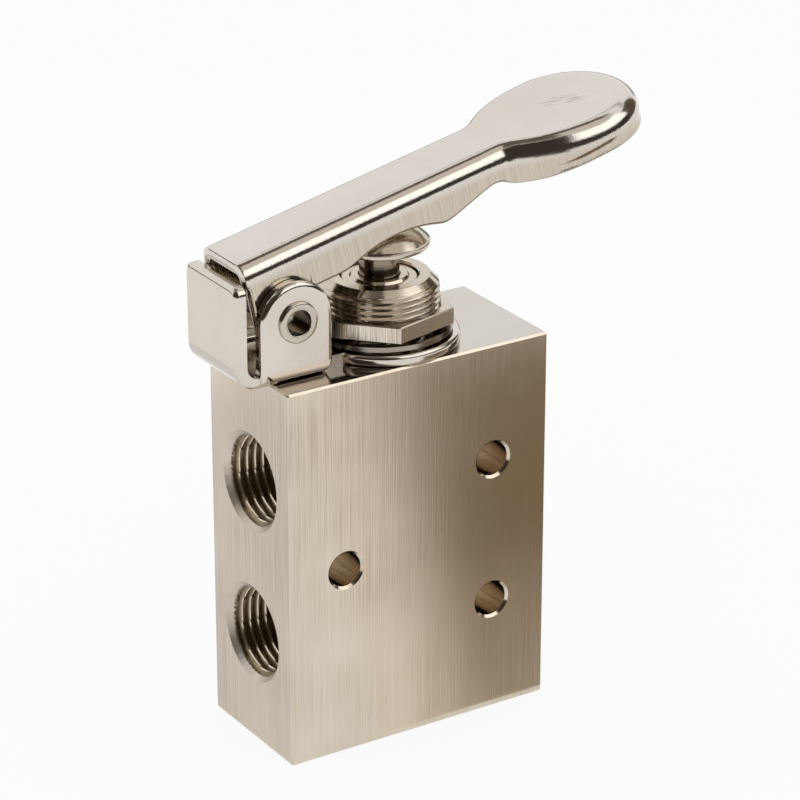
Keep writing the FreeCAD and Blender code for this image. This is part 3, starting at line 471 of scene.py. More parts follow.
# %% [markdown]
# ### The other finishes
#
# Pressed sheet keeps the mill's smooth skin, so its plate is the clearest mirror. Turned pieces show
# rings. The plate hardly reaches into tapped ports and the rivet's bore; their brown, dull finish is that
# thin plate together with painted shade inside the holes. The stem is ground stainless steel, darker than
# nickel, and darker still by painted shade under the button. The spring's wire is drawn and a little matt,
# the sleeves inside are turned aluminium, and the moulded nitrile seals are black and half matt. Patterns
# are worked out from places in space, so no picture is needed and nothing stretches over an edge.

# %% Smooth metal


def smooth_metal(name, pale, dark, rough_low, rough_high, patch_mm, peel_mm, peel_strength):
    """Plated or ground metal: patches shift colour and shine, a fine peel bends the reflections."""
    material, tree, output, place = new_material(name)
    patches = add_node(tree, "ShaderNodeTexNoise", {
        "Vector": place, "Scale": 1 / (patch_mm * MM), "Detail": 4.0})
    rough = add_node(tree, "ShaderNodeMapRange", {
        "Value": patches.outputs[0], "To Min": rough_low, "To Max": rough_high, **NOISE_SPAN})
    peel = add_node(tree, "ShaderNodeTexNoise", {
        "Vector": place, "Scale": 1 / (peel_mm * MM), "Detail": 2.0})
    end_in_metal(tree, output, patches.outputs[0], (pale, dark), rough.outputs[0],
                 peel.outputs[0], peel_strength, 0.05)
    return material


# %% Metal from the lathe


def turned_metal(name, pale, dark, rough_low, rough_high, ring_mm, centre_mm=(0, 0, 0), turn=(0, 0, 0)):
    """Metal from a lathe: rings round its axis, read from the distance to the axis and the height."""
    material, tree, output, place = new_material(name)
    centred = add_node(tree, "ShaderNodeMapping", {
        "Vector": place, "Location": [v * MM for v in centre_mm], "Rotation": turn}, vector_type="TEXTURE")
    flat = add_node(tree, "ShaderNodeVectorMath", {0: centred.outputs[0], 1: (1, 1, 0)},
                    operation="MULTIPLY")
    radius = add_node(tree, "ShaderNodeVectorMath", {0: flat.outputs[0]}, operation="LENGTH")
    height = add_node(tree, "ShaderNodeSeparateXYZ", {0: centred.outputs[0]})
    around = add_node(tree, "ShaderNodeCombineXYZ", {
        "X": radius.outputs["Value"], "Z": height.outputs["Z"]})
    rings = add_node(tree, "ShaderNodeTexNoise", {
        "Vector": around.outputs[0], "Scale": 1 / (ring_mm * MM), "Detail": 2.0})
    rough = add_node(tree, "ShaderNodeMapRange", {
        "Value": rings.outputs[0], "To Min": rough_low, "To Max": rough_high, **NOISE_SPAN})
    end_in_metal(tree, output, rings.outputs[0], (pale, dark), rough.outputs[0],
                 rings.outputs[0], 0.25, 0.03)
    return material


# %% Rubber


def moulded_rubber():
    """Nitrile rubber: near black, half matt, with the fine grain that talc leaves."""
    material, tree, output, place = new_material("moulded_nitrile")
    grain = add_node(tree, "ShaderNodeTexNoise", {"Vector": place, "Scale": 1 / (0.2 * MM)})
    rough = add_node(tree, "ShaderNodeMapRange", {"Value": grain.outputs[0], "To Min": 0.45, "To Max": 0.7})
    rubber = add_node(tree, "ShaderNodeBsdfPrincipled", {
        "Base Color": linear("#16161a"), "Roughness": rough.outputs[0], "IOR": 1.52})
    tree.links.new(rubber.outputs[0], output.inputs["Surface"])
    return material


# %% Finishes for the CAD pieces
PIVOT_MM = (-12.5, 0, 46.3)

pressed_finish = smooth_metal("nickel_plate_on_pressed_steel", "#ddd6ce", "#cfc6bb", 0.09, 0.17,
                              6, 0.22, 0.08)
# The spring washer's dark grey is a painted dark reflection, darker than the nickel of the other parts.
washer_dark_reflection_finish = smooth_metal("nickel_plate_with_painted_dark_reflection_on_washer", "#a8a096", "#8a8277", 0.12, 0.24,
                             3, 0.22, 0.1)
top_finish = smooth_metal("nickel_plate_on_ground_face", "#d3cdc6", "#cbc4bb", 0.08, 0.16, 5, 0.4, 0.05)
neck_finish = turned_metal("nickel_plate_on_turned_brass", "#d8cfc2", "#b7ab99", 0.08, 0.18, 0.12)
# The ports' dark brown is thin dull plate together with painted shade inside the holes.
port_shade_finish = turned_metal("thin_plate_and_painted_shade_in_ports", "#b5a486", "#8a795f", 0.28, 0.42, 0.3)
mouth_finish = smooth_metal("nickel_plate_on_port_mouth", "#e0d7ca", "#d2c7b7", 0.4, 0.5, 3, 0.3, 0.05)
rivet_finish = turned_metal("nickel_plate_on_rolled_rivet", "#d9d2c8", "#b9aea0", 0.14, 0.28, 0.15,
                            PIVOT_MM, (pi / 2, 0, 0))
# The rivet's bore is dark: thin plate together with painted shade inside the tube.
bore_shade_finish = turned_metal("thin_plate_and_painted_shade_in_rivet_bore", "#6f675c", "#4b443a", 0.2, 0.34, 0.3)
# Stainless steel's own darker tone, darkened further by painted shade under the button.
stem_shade_finish = turned_metal("ground_stainless_steel_with_painted_shade", "#a69c8e", "#6f6557", 0.08, 0.2, 0.1)
wire_finish = smooth_metal("drawn_spring_steel", "#a9a5a0", "#87837d", 0.2, 0.35, 2, 0.2, 0.1)
sleeve_finish = turned_metal("turned_aluminium", "#d0d0ce", "#aeaeac", 0.22, 0.38, 0.15)
rubber_finish = moulded_rubber()
FINISHES = {"block": block_finish, "turned": neck_finish, "pressed": pressed_finish, "stem": stem_shade_finish,
            "spring_steel": wire_finish, "sleeve": sleeve_finish, "seal": rubber_finish}
for subpart in frame["record"]["subparts"]:
    node = NODES[subpart["node"]]
    node.data.materials.clear()
    node.data.materials.append(FINISHES[subpart["material_slot"]])
# The lock washer gets the finish with the painted dark reflection.
NODES["lock_washer"].data.materials[0] = washer_dark_reflection_finish
print("finishes:", ", ".join(material.name for material in FINISHES.values()))

# %% [markdown]
# ## Threads
#
# A thread is a wave wound round an axis: going once round moves the wave along by one pitch. A rounded
# triangle wave gives the flanks their slope and the crests their small round. A bump in the material
# would be quicker, but it leaves the mouth's edge smooth, and there the real thread shows most.

# %% Thread wave


def thread_wave(turns):
    """Rounded triangle wave from 0 to 1 with period 1: the arc cosine of a slightly flattened cosine."""
    flatten = 0.96
    low = np.arccos(flatten) / pi
    return (np.arccos(flatten * np.cos(2 * pi * turns)) / pi - low) / (1 - 2 * low)


def thread_cutter(name, minor, major, pitch, length, start, run_out, segments=96, rows_per_pitch=10):
    """A screw-shaped solid along +X that cuts an internal thread.

    At a distance along the axis and an angle round it, the radius is the minor one plus the thread's
    depth times the wave of (distance / pitch - angle / full turn). The depth grows over half a pitch
    from the start and fades over the run-out.
    """
    along = np.arange(0, length, pitch / rows_per_pitch)
    angle = np.linspace(0, 2 * pi, segments, endpoint=False)
    wave = thread_wave(along[:, None] / pitch - angle[None, :] / (2 * pi))
    fade = (np.clip((length - along) / run_out, 0, 1) * np.clip((along - start) * 2 / pitch, 0, 1))[:, None]
    radius = minor + (major - minor) * wave * fade
    points = np.stack([np.broadcast_to(along[:, None], radius.shape), radius * np.cos(angle),
                       radius * np.sin(angle)], -1)
    ends = np.zeros((2, segments, 3))
    ends[0, :, 0], ends[1, :, 0] = along[0], along[-1]
    points = np.concatenate([ends[:1], points, ends[1:]])
    return new_piece(name, points, grid_faces(len(points), segments, False, True))


# %% [markdown]
# ## Block
#
# The block is a piece of milled bar with tapped ports. It keeps the CAD solid's exact shape, and only its
# three smooth port walls become real threads: a screw-shaped cutter is taken away from a merged copy of
# the CAD mesh, much as a tap does it. Its flat sides are shaded apart from their broken edges, because a
# polished face shows the smallest bend.

# %% Block with threaded ports
PORT_MINOR_MM, PORT_MAJOR_MM, PORT_PITCH_MM = 4.30, 4.865, 0.907
PORT_THREAD_MM, CLEAN_CHAMFER_MM, CREST_MM = 7.6, 0.1, 0.1
MOUTH_MARGIN_MM, MOUTH_RADIUS_MM, MOUTH_SAG_MM, PORT_END_MM = 0.4, 5.18, 0.08, 7.8
BLOCK_MM, EDGE_BREAK_MM, FLAT_WITHIN_MM, HAIR_MM = (30, 15, 40), 0.21, 0.003, 0.01
OTHER_SIDE_MM = 50
PORTS_MM = {"lower": (-15, 11.75), "upper": (-15, 28.25), "outlet": (15, 20)}


def merged_copy(node_name, name):
    """A copy of a CAD node's mesh with its loose triangles merged into one skin."""
    skin = bmesh.new()
    skin.from_mesh(NODES[node_name].data)
    bmesh.ops.remove_doubles(skin, verts=skin.verts, dist=1e-6)
    mesh = bpy.data.meshes.new(name)
    skin.to_mesh(mesh)
    skin.free()
    copy = bpy.data.objects.new(name, mesh)
    scene.collection.objects.link(copy)
    return copy


def carve(piece, cutter):
    """Takes the cutter's volume away from the piece and deletes the cutter."""
    cut = piece.modifiers.new("cut", "BOOLEAN")
    cut.operation, cut.solver, cut.object = "DIFFERENCE", "EXACT", cutter
    graph = bpy.context.evaluated_depsgraph_get()
    mesh = bpy.data.meshes.new_from_object(piece.evaluated_get(graph), depsgraph=graph)
    piece.modifiers.clear()
    piece.data = mesh
    bpy.data.objects.remove(cutter)


block = merged_copy("valve_body", "block")
for port, (face_x, height) in PORTS_MM.items():
    cutter = thread_cutter(f"cutter_{port}", PORT_MINOR_MM, PORT_MAJOR_MM, PORT_PITCH_MM,
                           PORT_THREAD_MM + MOUTH_MARGIN_MM, MOUTH_MARGIN_MM + CLEAN_CHAMFER_MM,
                           PORT_PITCH_MM)
    inward = 1 if face_x < 0 else -1
    turn = Matrix.Rotation(0 if inward > 0 else pi, 4, "Z")
    start = Vector((face_x - MOUTH_MARGIN_MM * inward, 0, height)) * MM
    cutter.data.transform(Matrix.Translation(start) @ turn)
    carve(block, cutter)


def from_port(centre):
    """Each face's distance from the axis of the nearest port; the other side's ports count as far."""
    x, y, z = centre.T
    return np.min([np.hypot(y, z - height) + OTHER_SIDE_MM * (x * face_x < 0)
                   for face_x, height in PORTS_MM.values()], axis=0)


def on_mouth(centre):
    """Whether a face lies on a port's 45-degree mouth: radius and depth add up to the mouth's radius."""
    depth = BLOCK_MM[0] / 2 - np.abs(centre[:, 0])
    return (depth > HAIR_MM) & (np.abs(from_port(centre) + depth - MOUTH_RADIUS_MM) < MOUTH_SAG_MM)


def block_side(centre):
    """A number for the side a face lies on: 1, 2 and 4 along X, Y and Z.

    It is 8 more on a port's mouth and 16 more on the flat sides themselves, without their broken edges.
    """
    half = np.array(BLOCK_MM) / 2
    reach = np.abs(centre - (0, 0, half[2])) - half
    flat = (reach > -FLAT_WITHIN_MM).any(axis=1)
    return (reach > -EDGE_BREAK_MM) @ np.array([1, 2, 4]) + 8 * on_mouth(centre) + 16 * flat


def in_port(centre):
    """Whether a face lies inside a port, where the dark finish paints shade, apart from the bright crests
    of its thread.
    """
    aside, radius = np.abs(centre[:, 0]), from_port(centre)
    inside = (aside < BLOCK_MM[0] / 2 - HAIR_MM) & (radius < PORT_MAJOR_MM + 2 * HAIR_MM)
    return inside & ((radius > PORT_MINOR_MM + CREST_MM) | (aside < PORT_END_MM))


shade(block, SMOOTH_UNDER, block_side)
mount(block, "valve", "valve_body", block_finish)
finish_where(block, top_finish, lambda centre: centre[:, 2] > BLOCK_MM[2] - HAIR_MM)
# Painted shade inside the ports, on top of their thin dull plate.
finish_where(block, port_shade_finish, in_port)
finish_where(block, mouth_finish, on_mouth)
print("block has", len(block.data.polygons), "faces after the threads")

# %% [markdown]
# ## Neck
#
# The neck is a turned bush with a fine external thread, a chamfered crown and a stepped bore for the guide.
# Its outside is one grid: rows climb the neck and the radius is the smaller of the thread's and the
# chamfer's, so that the thread runs out in the chamfer as a die leaves it.

# %% Neck with its external thread
NECK_MAJOR_MM, NECK_MINOR_MM, NECK_PITCH_MM = 5.95, 5.58, 0.6
NECK_FOOT_MM, BLOCK_TOP_MM, NECK_TOP_MM = 34.275, BLOCK_MM[2], 47.0
CROWN_RADIUS_MM, CROWN_HEIGHT_MM = 5.0, 0.95
NECK_MOUTH_MM, MOUTH_BREAK_MM, SHOULDER_MM, CAVITY_RADIUS_MM = 3.88, 0.12, 44.7, 4.3


def threaded_neck():
    """Rows up the outside, over the crown and down the bore; only rows above the block carry thread."""
    segments, rows_per_pitch = 160, 14
    climb = np.arange(BLOCK_TOP_MM, NECK_TOP_MM - 0.01, NECK_PITCH_MM / rows_per_pitch)
    angle = np.linspace(0, 2 * pi, segments, endpoint=False)
    wave = 1 - thread_wave(climb[:, None] / NECK_PITCH_MM - angle[None, :] / (2 * pi))
    threaded = NECK_MINOR_MM + (NECK_MAJOR_MM - NECK_MINOR_MM) * wave
    slope = (NECK_MAJOR_MM - CROWN_RADIUS_MM) / CROWN_HEIGHT_MM
    chamfer = CROWN_RADIUS_MM + (NECK_TOP_MM - climb[:, None]) * slope
    outside = np.minimum(threaded, chamfer)
    plain = [(CAVITY_RADIUS_MM, NECK_FOOT_MM), (NECK_MAJOR_MM, NECK_FOOT_MM),
             (NECK_MAJOR_MM, BLOCK_TOP_MM - 0.05)]
    bore = [(CROWN_RADIUS_MM, NECK_TOP_MM), (NECK_MOUTH_MM + MOUTH_BREAK_MM, NECK_TOP_MM),
            (NECK_MOUTH_MM, NECK_TOP_MM - MOUTH_BREAK_MM), (NECK_MOUTH_MM, SHOULDER_MM),
            (CAVITY_RADIUS_MM, SHOULDER_MM)]
    radius = np.concatenate([np.repeat([[r] for r, _ in plain], segments, 1), outside,
                             np.repeat([[r] for r, _ in bore], segments, 1)])
    height = np.concatenate([[z for _, z in plain], climb, [z for _, z in bore]])[:, None]
    points = np.stack([radius * np.cos(angle), radius * np.sin(angle),
                       np.broadcast_to(height, radius.shape)], -1)
    return new_piece("neck", points, grid_faces(len(points), segments, True, True))


mount(threaded_neck(), "valve", "neck_bush", neck_finish)

# %% [markdown]
# ## Guide and button
#
# A turned insert guides the stem in the neck's mouth. A narrow dark gap parts it from the neck, and a
# raised collar stands round the stem. The button on the stem has a short upright rim and a domed top. Both
# are outlines swept round the axis, and the dome is a part of a sphere.

# %% Guide insert
GUIDE_FOOT_MM, GUIDE_STEP_MM, GUIDE_FACE_MM = 43.92, 44.66, 46.72
GUIDE_RADIUS_MM, GUIDE_FLANGE_MM, STEM_BORE_MM = 3.72, 4.26, 2.07
COLLAR_RADIUS_MM, COLLAR_TOP_MM = 2.85, 47.02

guide = turned("guide_insert", rounded([
    (STEM_BORE_MM, GUIDE_FOOT_MM), (GUIDE_FLANGE_MM, GUIDE_FOOT_MM, 0.1),
    (GUIDE_FLANGE_MM, GUIDE_STEP_MM, 0.1), (GUIDE_RADIUS_MM, GUIDE_STEP_MM),
    (GUIDE_RADIUS_MM, GUIDE_FACE_MM, 0.12),
    (COLLAR_RADIUS_MM + 0.12, GUIDE_FACE_MM, 0.06), (COLLAR_RADIUS_MM - 0.1, COLLAR_TOP_MM, 0.12),
    (STEM_BORE_MM, COLLAR_TOP_MM, 0.1)]))
mount(guide, "valve", "guide_bush", neck_finish)

# %% Domed button
BUTTON_RADIUS_MM, BUTTON_FOOT_MM, BUTTON_RIM_MM, BUTTON_TOP_MM = 5.0, 50.0, 50.56, 52.62
SEAT_RADIUS_MM, SEAT_TOP_MM, DOME_RADIUS_MM, DOME_REACH_MM = 2.02, 51.22, 7.2, 4.86

dome_reach = np.linspace(DOME_REACH_MM, 0, 30)
dome_height = BUTTON_TOP_MM - DOME_RADIUS_MM + np.sqrt(DOME_RADIUS_MM ** 2 - dome_reach ** 2)
rim = rounded([(0, SEAT_TOP_MM), (SEAT_RADIUS_MM, SEAT_TOP_MM), (SEAT_RADIUS_MM, BUTTON_FOOT_MM),
               (BUTTON_RADIUS_MM, BUTTON_FOOT_MM, 0.3), (BUTTON_RADIUS_MM, BUTTON_RIM_MM, 0.1),
               (DOME_REACH_MM + 0.04, BUTTON_RIM_MM, 0.03)])
dome = np.stack([dome_reach, dome_height], -1)
button = turned("domed_button", np.concatenate([rim, dome]), closed=False)
mount(button, "plunger", "plunger_head", neck_finish)

# %% [markdown]
# ## Nut
#
# The nut is cut from drawn hexagon bar, so its six flats keep the fine upright lines of the draw and its
# edges are crisp. Each row of the surface is the same rounded hexagon, drawn in or out a little, so that
# the narrow broken edges catch their own line of light.

# %% Hexagon nut
NUT_APOTHEM_MM, NUT_FOOT_MM, NUT_TOP_MM, NUT_BORE_MM = 6.5, 42.3, 44.0, 5.98
NUT_TURN, NUT_CORNER_MM = radians(14), 0.12
# The drawn lines, too, are a little wider than real ones.
DRAW_WIDTH_MM, DRAW_STRETCH = 0.12, 40


def drawn_bar():
    """Nickel on drawn bar: fast changes round the nut and slow ones along it, as fine upright lines."""
    material, tree, output, place = new_material("nickel_plate_on_drawn_hexagon_bar")
    fine = 1 / (DRAW_WIDTH_MM * MM)
    lines = add_node(tree, "ShaderNodeMapping", {
        "Vector": place, "Scale": (fine, fine, fine / DRAW_STRETCH)})
    draw = add_node(tree, "ShaderNodeTexNoise", {"Vector": lines.outputs[0], "Scale": 1.0, "Detail": 2.0})
    sharp = add_node(tree, "ShaderNodeMapRange", {"Value": draw.outputs[0], **NOISE_SPAN})
    rough = add_node(tree, "ShaderNodeMapRange", {
        "Value": sharp.outputs[0], "To Min": 0.12, "To Max": 0.28})
    end_in_metal(tree, output, sharp.outputs[0], ("#e4dbce", "#b3a99b"), rough.outputs[0],
                 draw.outputs[0], 0.35, 0.03)
    return material


def hexagon(apothem):
    """A rounded hexagon: corners at apothem / cos 30 degrees, every 60 degrees."""
    turn = NUT_TURN + np.arange(6) * pi / 3
    reach = apothem / cos(pi / 6)
    corners = np.stack([reach * np.cos(turn), reach * np.sin(turn), np.full(6, NUT_CORNER_MM)], -1)
    middles = (corners + np.roll(corners, -1, 0)) / 2 * (1, 1, 0)
    return rounded(np.stack([corners, middles], 1).reshape(-1, 3), 5)


def hexagon_nut():
    """Rows from the bore's foot out over the flats to its top: hexagons outside and circles inside."""
    rows = []
    for apothem, height in ((NUT_APOTHEM_MM - 0.08, NUT_FOOT_MM), (NUT_APOTHEM_MM, NUT_FOOT_MM + 0.08),
                            (NUT_APOTHEM_MM, NUT_TOP_MM - 0.1), (NUT_APOTHEM_MM - 0.14, NUT_TOP_MM)):
        row = hexagon(apothem)
        rows.append(np.concatenate([row, np.full((len(row), 1), height)], 1))
    turn = np.arctan2(rows[0][:, 1], rows[0][:, 0])
    for radius, height in ((NUT_BORE_MM + 0.25, NUT_TOP_MM), (NUT_BORE_MM, NUT_TOP_MM - 0.25),
                           (NUT_BORE_MM, NUT_FOOT_MM + 0.2), (NUT_BORE_MM + 0.2, NUT_FOOT_MM)):
        rows.append(np.stack([
            radius * np.cos(turn), radius * np.sin(turn), np.full(len(turn), height)], -1))
    return new_piece("hexagon_nut", np.array(rows), grid_faces(len(rows), len(turn), True, True), 25)


mount(hexagon_nut(), "valve", "panel_nut", drawn_bar())

# %% [markdown]
# ## Return spring
#
# The spring sits unseen in the neck. In the real valve it shortens as the plunger goes down; here it is a
# merged copy of the CAD spring with a mesh of its own, put on the valve. Its shape is already right and is
# kept.

spring = merged_copy("return_spring", "coil_spring")
shade(spring, 50)
mount(spring, "valve", "return_spring", wire_finish)
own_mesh(spring)

# %% [markdown]
# ## Rivet
#
# The pivot is a tube rivet. Rolling its ends over leaves a soft lip that isn't quite round, so the radius
# swells a little in lobes. It is turned on the Z axis like the other round pieces and then laid over.

# %% Rolled rivet
RIVET_RADIUS_MM, RIVET_BORE_MM, LIP_RADIUS_MM = 1.7, 1.15, 2.1
GRIP_MM, RIVET_END_MM, LOBES, LOBE_SHARE = 5.42, 5.77, 7, 0.008


def rolled_rivet():
    """A tube with two rolled lips, turned on Z and then laid along Y at the pivot."""
    half = [(RIVET_BORE_MM + 0.12, RIVET_END_MM - 0.5, 0.2), (RIVET_BORE_MM + 0.1, RIVET_END_MM, 0.2),
            (LIP_RADIUS_MM, RIVET_END_MM, 0.3), (LIP_RADIUS_MM, GRIP_MM, 0.05),
            (RIVET_RADIUS_MM, GRIP_MM, 0)]
    mirrored = [(r, -z, f) for r, z, f in reversed(half)]
    rivet = turned("rolled_rivet", rounded([*half, *mirrored], 7), 96, ripple=LOBE_SHARE, lobes=LOBES)
    rivet.data.transform(Matrix.Translation(Vector(PIVOT_MM) * MM) @ Matrix.Rotation(pi / 2, 4, "X"))
    return rivet


rivet = rolled_rivet()
mount(rivet, "valve", "pivot_rivet", rivet_finish)
# Painted shade inside the rivet's bore.
finish_where(rivet, bore_shade_finish, lambda centre: np.hypot(
    centre[:, 0] - PIVOT_MM[0], centre[:, 2] - PIVOT_MM[2]) < RIVET_BORE_MM + 0.14)

# %% [markdown]
# ## Lever
#
# The lever is one pressed sheet: a flat back, a rounded bend and a wall all round, open below and at the
# heel. Seen from above its outline is a straight arm, a short hollow curve, a long flank and a round end.
# The wall's foot follows its own line: round lobes at the pivot, an arch over the plunger, a notch, and a
# skirt under the thumb pad. Each row of the grid is one cut through the sheet, from the spine over the
# bend, down the wall, round the cut edge and back inside to the spine. Sheet bends like this, in one
# smooth skin, and joined blocks with bevels wouldn't give its long unbroken reflections.

# %% Lever outline
TILT = radians(12.5)
SHEET_MM, TOP_MM = 1.2, 7.0
ARM_HALF_MM, HEEL_MM = 4.1, -3.9
PAD_RADIUS_MM, FLANK_RADIUS_MM, PAD_CENTRE_MM, HOLLOW_RADIUS_MM = 7.7, 14.0, 35.95, 2.5

span = FLANK_RADIUS_MM + HOLLOW_RADIUS_MM
across = ARM_HALF_MM + HOLLOW_RADIUS_MM + FLANK_RADIUS_MM - PAD_RADIUS_MM
HOLLOW_START_MM = PAD_CENTRE_MM - sqrt(span ** 2 - across ** 2)
HOLLOW_SWEEP = np.arccos(across / span)


def arc(centre, radius, turn):
    """Points round a centre in the plan and their outward normals; turn 0 points straight out."""
    normal = np.stack([np.sin(turn), np.cos(turn)], -1)
    return np.array(centre) + radius * normal, normal


def outline(arm_s):
    """One side of the plan from heel to tip: points (s, w) and outward normals.

    The arm is straight at the given s values. The hollow curve turns its normal towards the heel, the
    flank turns it back to straight out, and the round end turns it on to the tip.
    """
    arm = np.stack([arm_s, np.full(len(arm_s), ARM_HALF_MM)], -1), np.tile([0.0, 1.0], (len(arm_s), 1))
    hollow = arc((HOLLOW_START_MM, ARM_HALF_MM + HOLLOW_RADIUS_MM), -HOLLOW_RADIUS_MM,
                 -np.linspace(0, HOLLOW_SWEEP, 12)[1:])
    flank = arc((PAD_CENTRE_MM, PAD_RADIUS_MM - FLANK_RADIUS_MM), FLANK_RADIUS_MM,
                -np.linspace(HOLLOW_SWEEP, 0, 26)[1:])
    end = arc((PAD_CENTRE_MM, 0), PAD_RADIUS_MM, np.linspace(0, pi / 2, 36)[1:])
    pieces = (arm, hollow, flank, end)
    return np.concatenate([p for p, _ in pieces]), np.concatenate([n for _, n in pieces])


# %% Lever foot line
LOBE_MM, FOOT_MM = 3.65, 1.85
ARCH_START_MM, ARCH_END_MM, ARCH_RADIUS_MM = 7.3, 18.6, 13.4
NOTCH_MM, SKIRT_MM, RIM_MM = (24.95, 3.75), (26.75, 2.78), (35.5, 3.4)
SKIRT_FLAT_MM = 29.25
HEEL_EDGE_MM = ((-3.9, 5.0), (-3.8, 4.75), (-3.65, 4.5), (-3.65, 3.4), (-3.65, 2.2), (-3.65, 1.1))


def foot_height(s):
    """Height of the wall's foot past the lobe: a level, the arch, and straight lines between."""
    middle = (ARCH_START_MM + ARCH_END_MM) / 2
    drop = sqrt(ARCH_RADIUS_MM ** 2 - ((ARCH_END_MM - ARCH_START_MM) / 2) ** 2)
    arch = FOOT_MM - drop + np.sqrt(np.maximum(ARCH_RADIUS_MM ** 2 - (s - middle) ** 2, 0))
    lines = np.interp(s, [ARCH_END_MM, NOTCH_MM[0], SKIRT_MM[0], SKIRT_FLAT_MM, RIM_MM[0]],
                      [FOOT_MM, NOTCH_MM[1], SKIRT_MM[1], SKIRT_MM[1], RIM_MM[1]])
    return np.where(s < ARCH_START_MM, FOOT_MM, np.where(s < ARCH_END_MM, arch, lines))


def smoothed(values, passes):
    """Each inner value moves halfway to the mean of its neighbours, the given number of times."""
    for _ in range(passes):
        inner = (values[:-2] + 2 * values[1:-1] + values[2:]) / 4
        values = np.concatenate([values[:1], inner, values[-1:]])
    return values


def lever_rows():
    """Rows from heel to tip: the plan's points and normals, and the foot's points (s, n) and normals."""
    lobe_turn = np.linspace(pi, 2 * pi + np.arcsin(FOOT_MM / LOBE_MM), 30)
    lobe = LOBE_MM * np.stack([np.cos(lobe_turn), np.sin(lobe_turn)], -1)
    arm_s = np.linspace(lobe[-1, 0] + 0.3, HOLLOW_START_MM, 84)
    before = len(HEEL_EDGE_MM) + len(lobe)
    plan, normal = outline(np.concatenate([np.linspace(HEEL_MM, arm_s[0], before, endpoint=False), arm_s]))
    level = smoothed(foot_height(plan[before:, 0]), 10)
    foot = np.concatenate([HEEL_EDGE_MM, lobe, np.stack([plan[before:, 0], level], -1)])
    along = np.stack([np.gradient(smoothed(foot[:, 0], 2)), np.gradient(smoothed(foot[:, 1], 2))], -1)
    along[before + len(arm_s):] = (1, 0)
    upward = np.stack([-along[:, 1], along[:, 0]], -1)
    return plan, normal, foot, upward / np.linalg.norm(upward, axis=1, keepdims=True)


# %% Lever surface
EDGE_MM = 0.32
ROLL_REACH_MM = ((25, 1.6), (29, 1.5), (31, 1.55), (35, 1.85))
ROLL_DROP_MM = ((24.5, 1.9), (28.5, 2.8), (31.5, 2.8), (36.5, 2.05))
WALL_HOLLOW_MM, HOLLOW_FROM_MM = 0.08, (26.5, 30.0)
SHEET_END_MM = 0.34


def lever_side():
    """One side of the sheet: a grid of (s, w, n) whose rows run from the outer spine to the inner one.

    Across each row the flat runs straight to the roll, the roll is a quarter of an ellipse, the wall is
    straight down to its foot, and the cut edge is a half round of its own. The inner skin comes back the
    same way, one sheet further in. The roll deepens at the pad's hollow and grows smaller towards the tip,
    and the wall under the pad is drawn in a little between its roll and its foot.
    """
    plan, normal, foot, upward = lever_rows()
    rows = len(plan)
    reach, drop = (smoothed(np.interp(plan[:, 0], *np.transpose(stops)), 12)[:, None]
                   for stops in (ROLL_REACH_MM, ROLL_DROP_MM))
    hollow = WALL_HOLLOW_MM * smoothed(np.interp(plan[:, 0], HOLLOW_FROM_MM, (0, 1)), 6)[:, None]
    end = np.clip(1 - (plan[:, :1] - HEEL_MM) / SHEET_END_MM, 0, 1)
    thin = SHEET_END_MM * (1 - np.sqrt(1 - end ** 2))
    spine = np.minimum(plan[:, 0], PAD_CENTRE_MM)
    turn = np.linspace(0, pi / 2, 12)
    down = np.array([0.12, 0.25, 0.4, 0.55, 0.7, 0.85, 0.97, 1.0])

    def skin(inset, reach, drop):
        """Columns (s, w, n) of one skin from the spine to the foot; inset is its depth in the sheet."""
        start = plan - normal * (inset + reach)
        share = np.array([0, 0.3, 0.6, 0.85, 0.99])
        flat_s = spine[:, None] * (1 - share) + start[:, :1] * share
        flat_w = start[:, 1:] * share
        flat_n = np.broadcast_to(TOP_MM - inset, flat_s.shape)
        out = inset + reach * (1 - np.sin(turn))
        roll_s, roll_w = plan[:, :1] - normal[:, :1] * out, plan[:, 1:] - normal[:, 1:] * out
        roll_n = TOP_MM - inset - drop * (1 - np.cos(turn))
        on_arm = plan[:, :1] <= HOLLOW_START_MM
        foot_s = np.where(on_arm, foot[:, :1] + upward[:, :1] * EDGE_MM, roll_s[:, -1:])
        foot_n = foot[:, 1:] + upward[:, 1:] * EDGE_MM
        drawn_in = hollow * np.sin(pi * down)
        wall_s = roll_s[:, -1:] * (1 - down) + foot_s * down - normal[:, :1] * drawn_in
        wall_n = roll_n[:, -1:] * (1 - down) + foot_n * down
        wall_w = roll_w[:, -1:] - normal[:, 1:] * drawn_in
        return np.stack([np.concatenate([flat_s, roll_s, wall_s], 1),
                         np.concatenate([flat_w, roll_w, wall_w], 1),
                         np.concatenate([flat_n, roll_n, wall_n], 1)], -1)

    outer = skin(thin, reach, drop)
    inner = skin(SHEET_MM - thin, reach - SHEET_MM + 0.15, drop - SHEET_MM + 0.15)
    middle, half_across = (outer[:, -1:] + inner[:, -1:]) / 2, (outer[:, -1:] - inner[:, -1:]) / 2
    turn = np.linspace(0, pi, 10)[None, 1:-1, None]
    outwards = -np.stack([upward[:, 0] * (plan[:, 0] <= HOLLOW_START_MM), np.zeros(rows), upward[:, 1]], -1)
    edge = middle + half_across * np.cos(turn) + EDGE_MM * outwards[:, None] * np.sin(turn)
    return np.concatenate([outer, edge, inner[:, ::-1]], 1)


# %% Whole lever


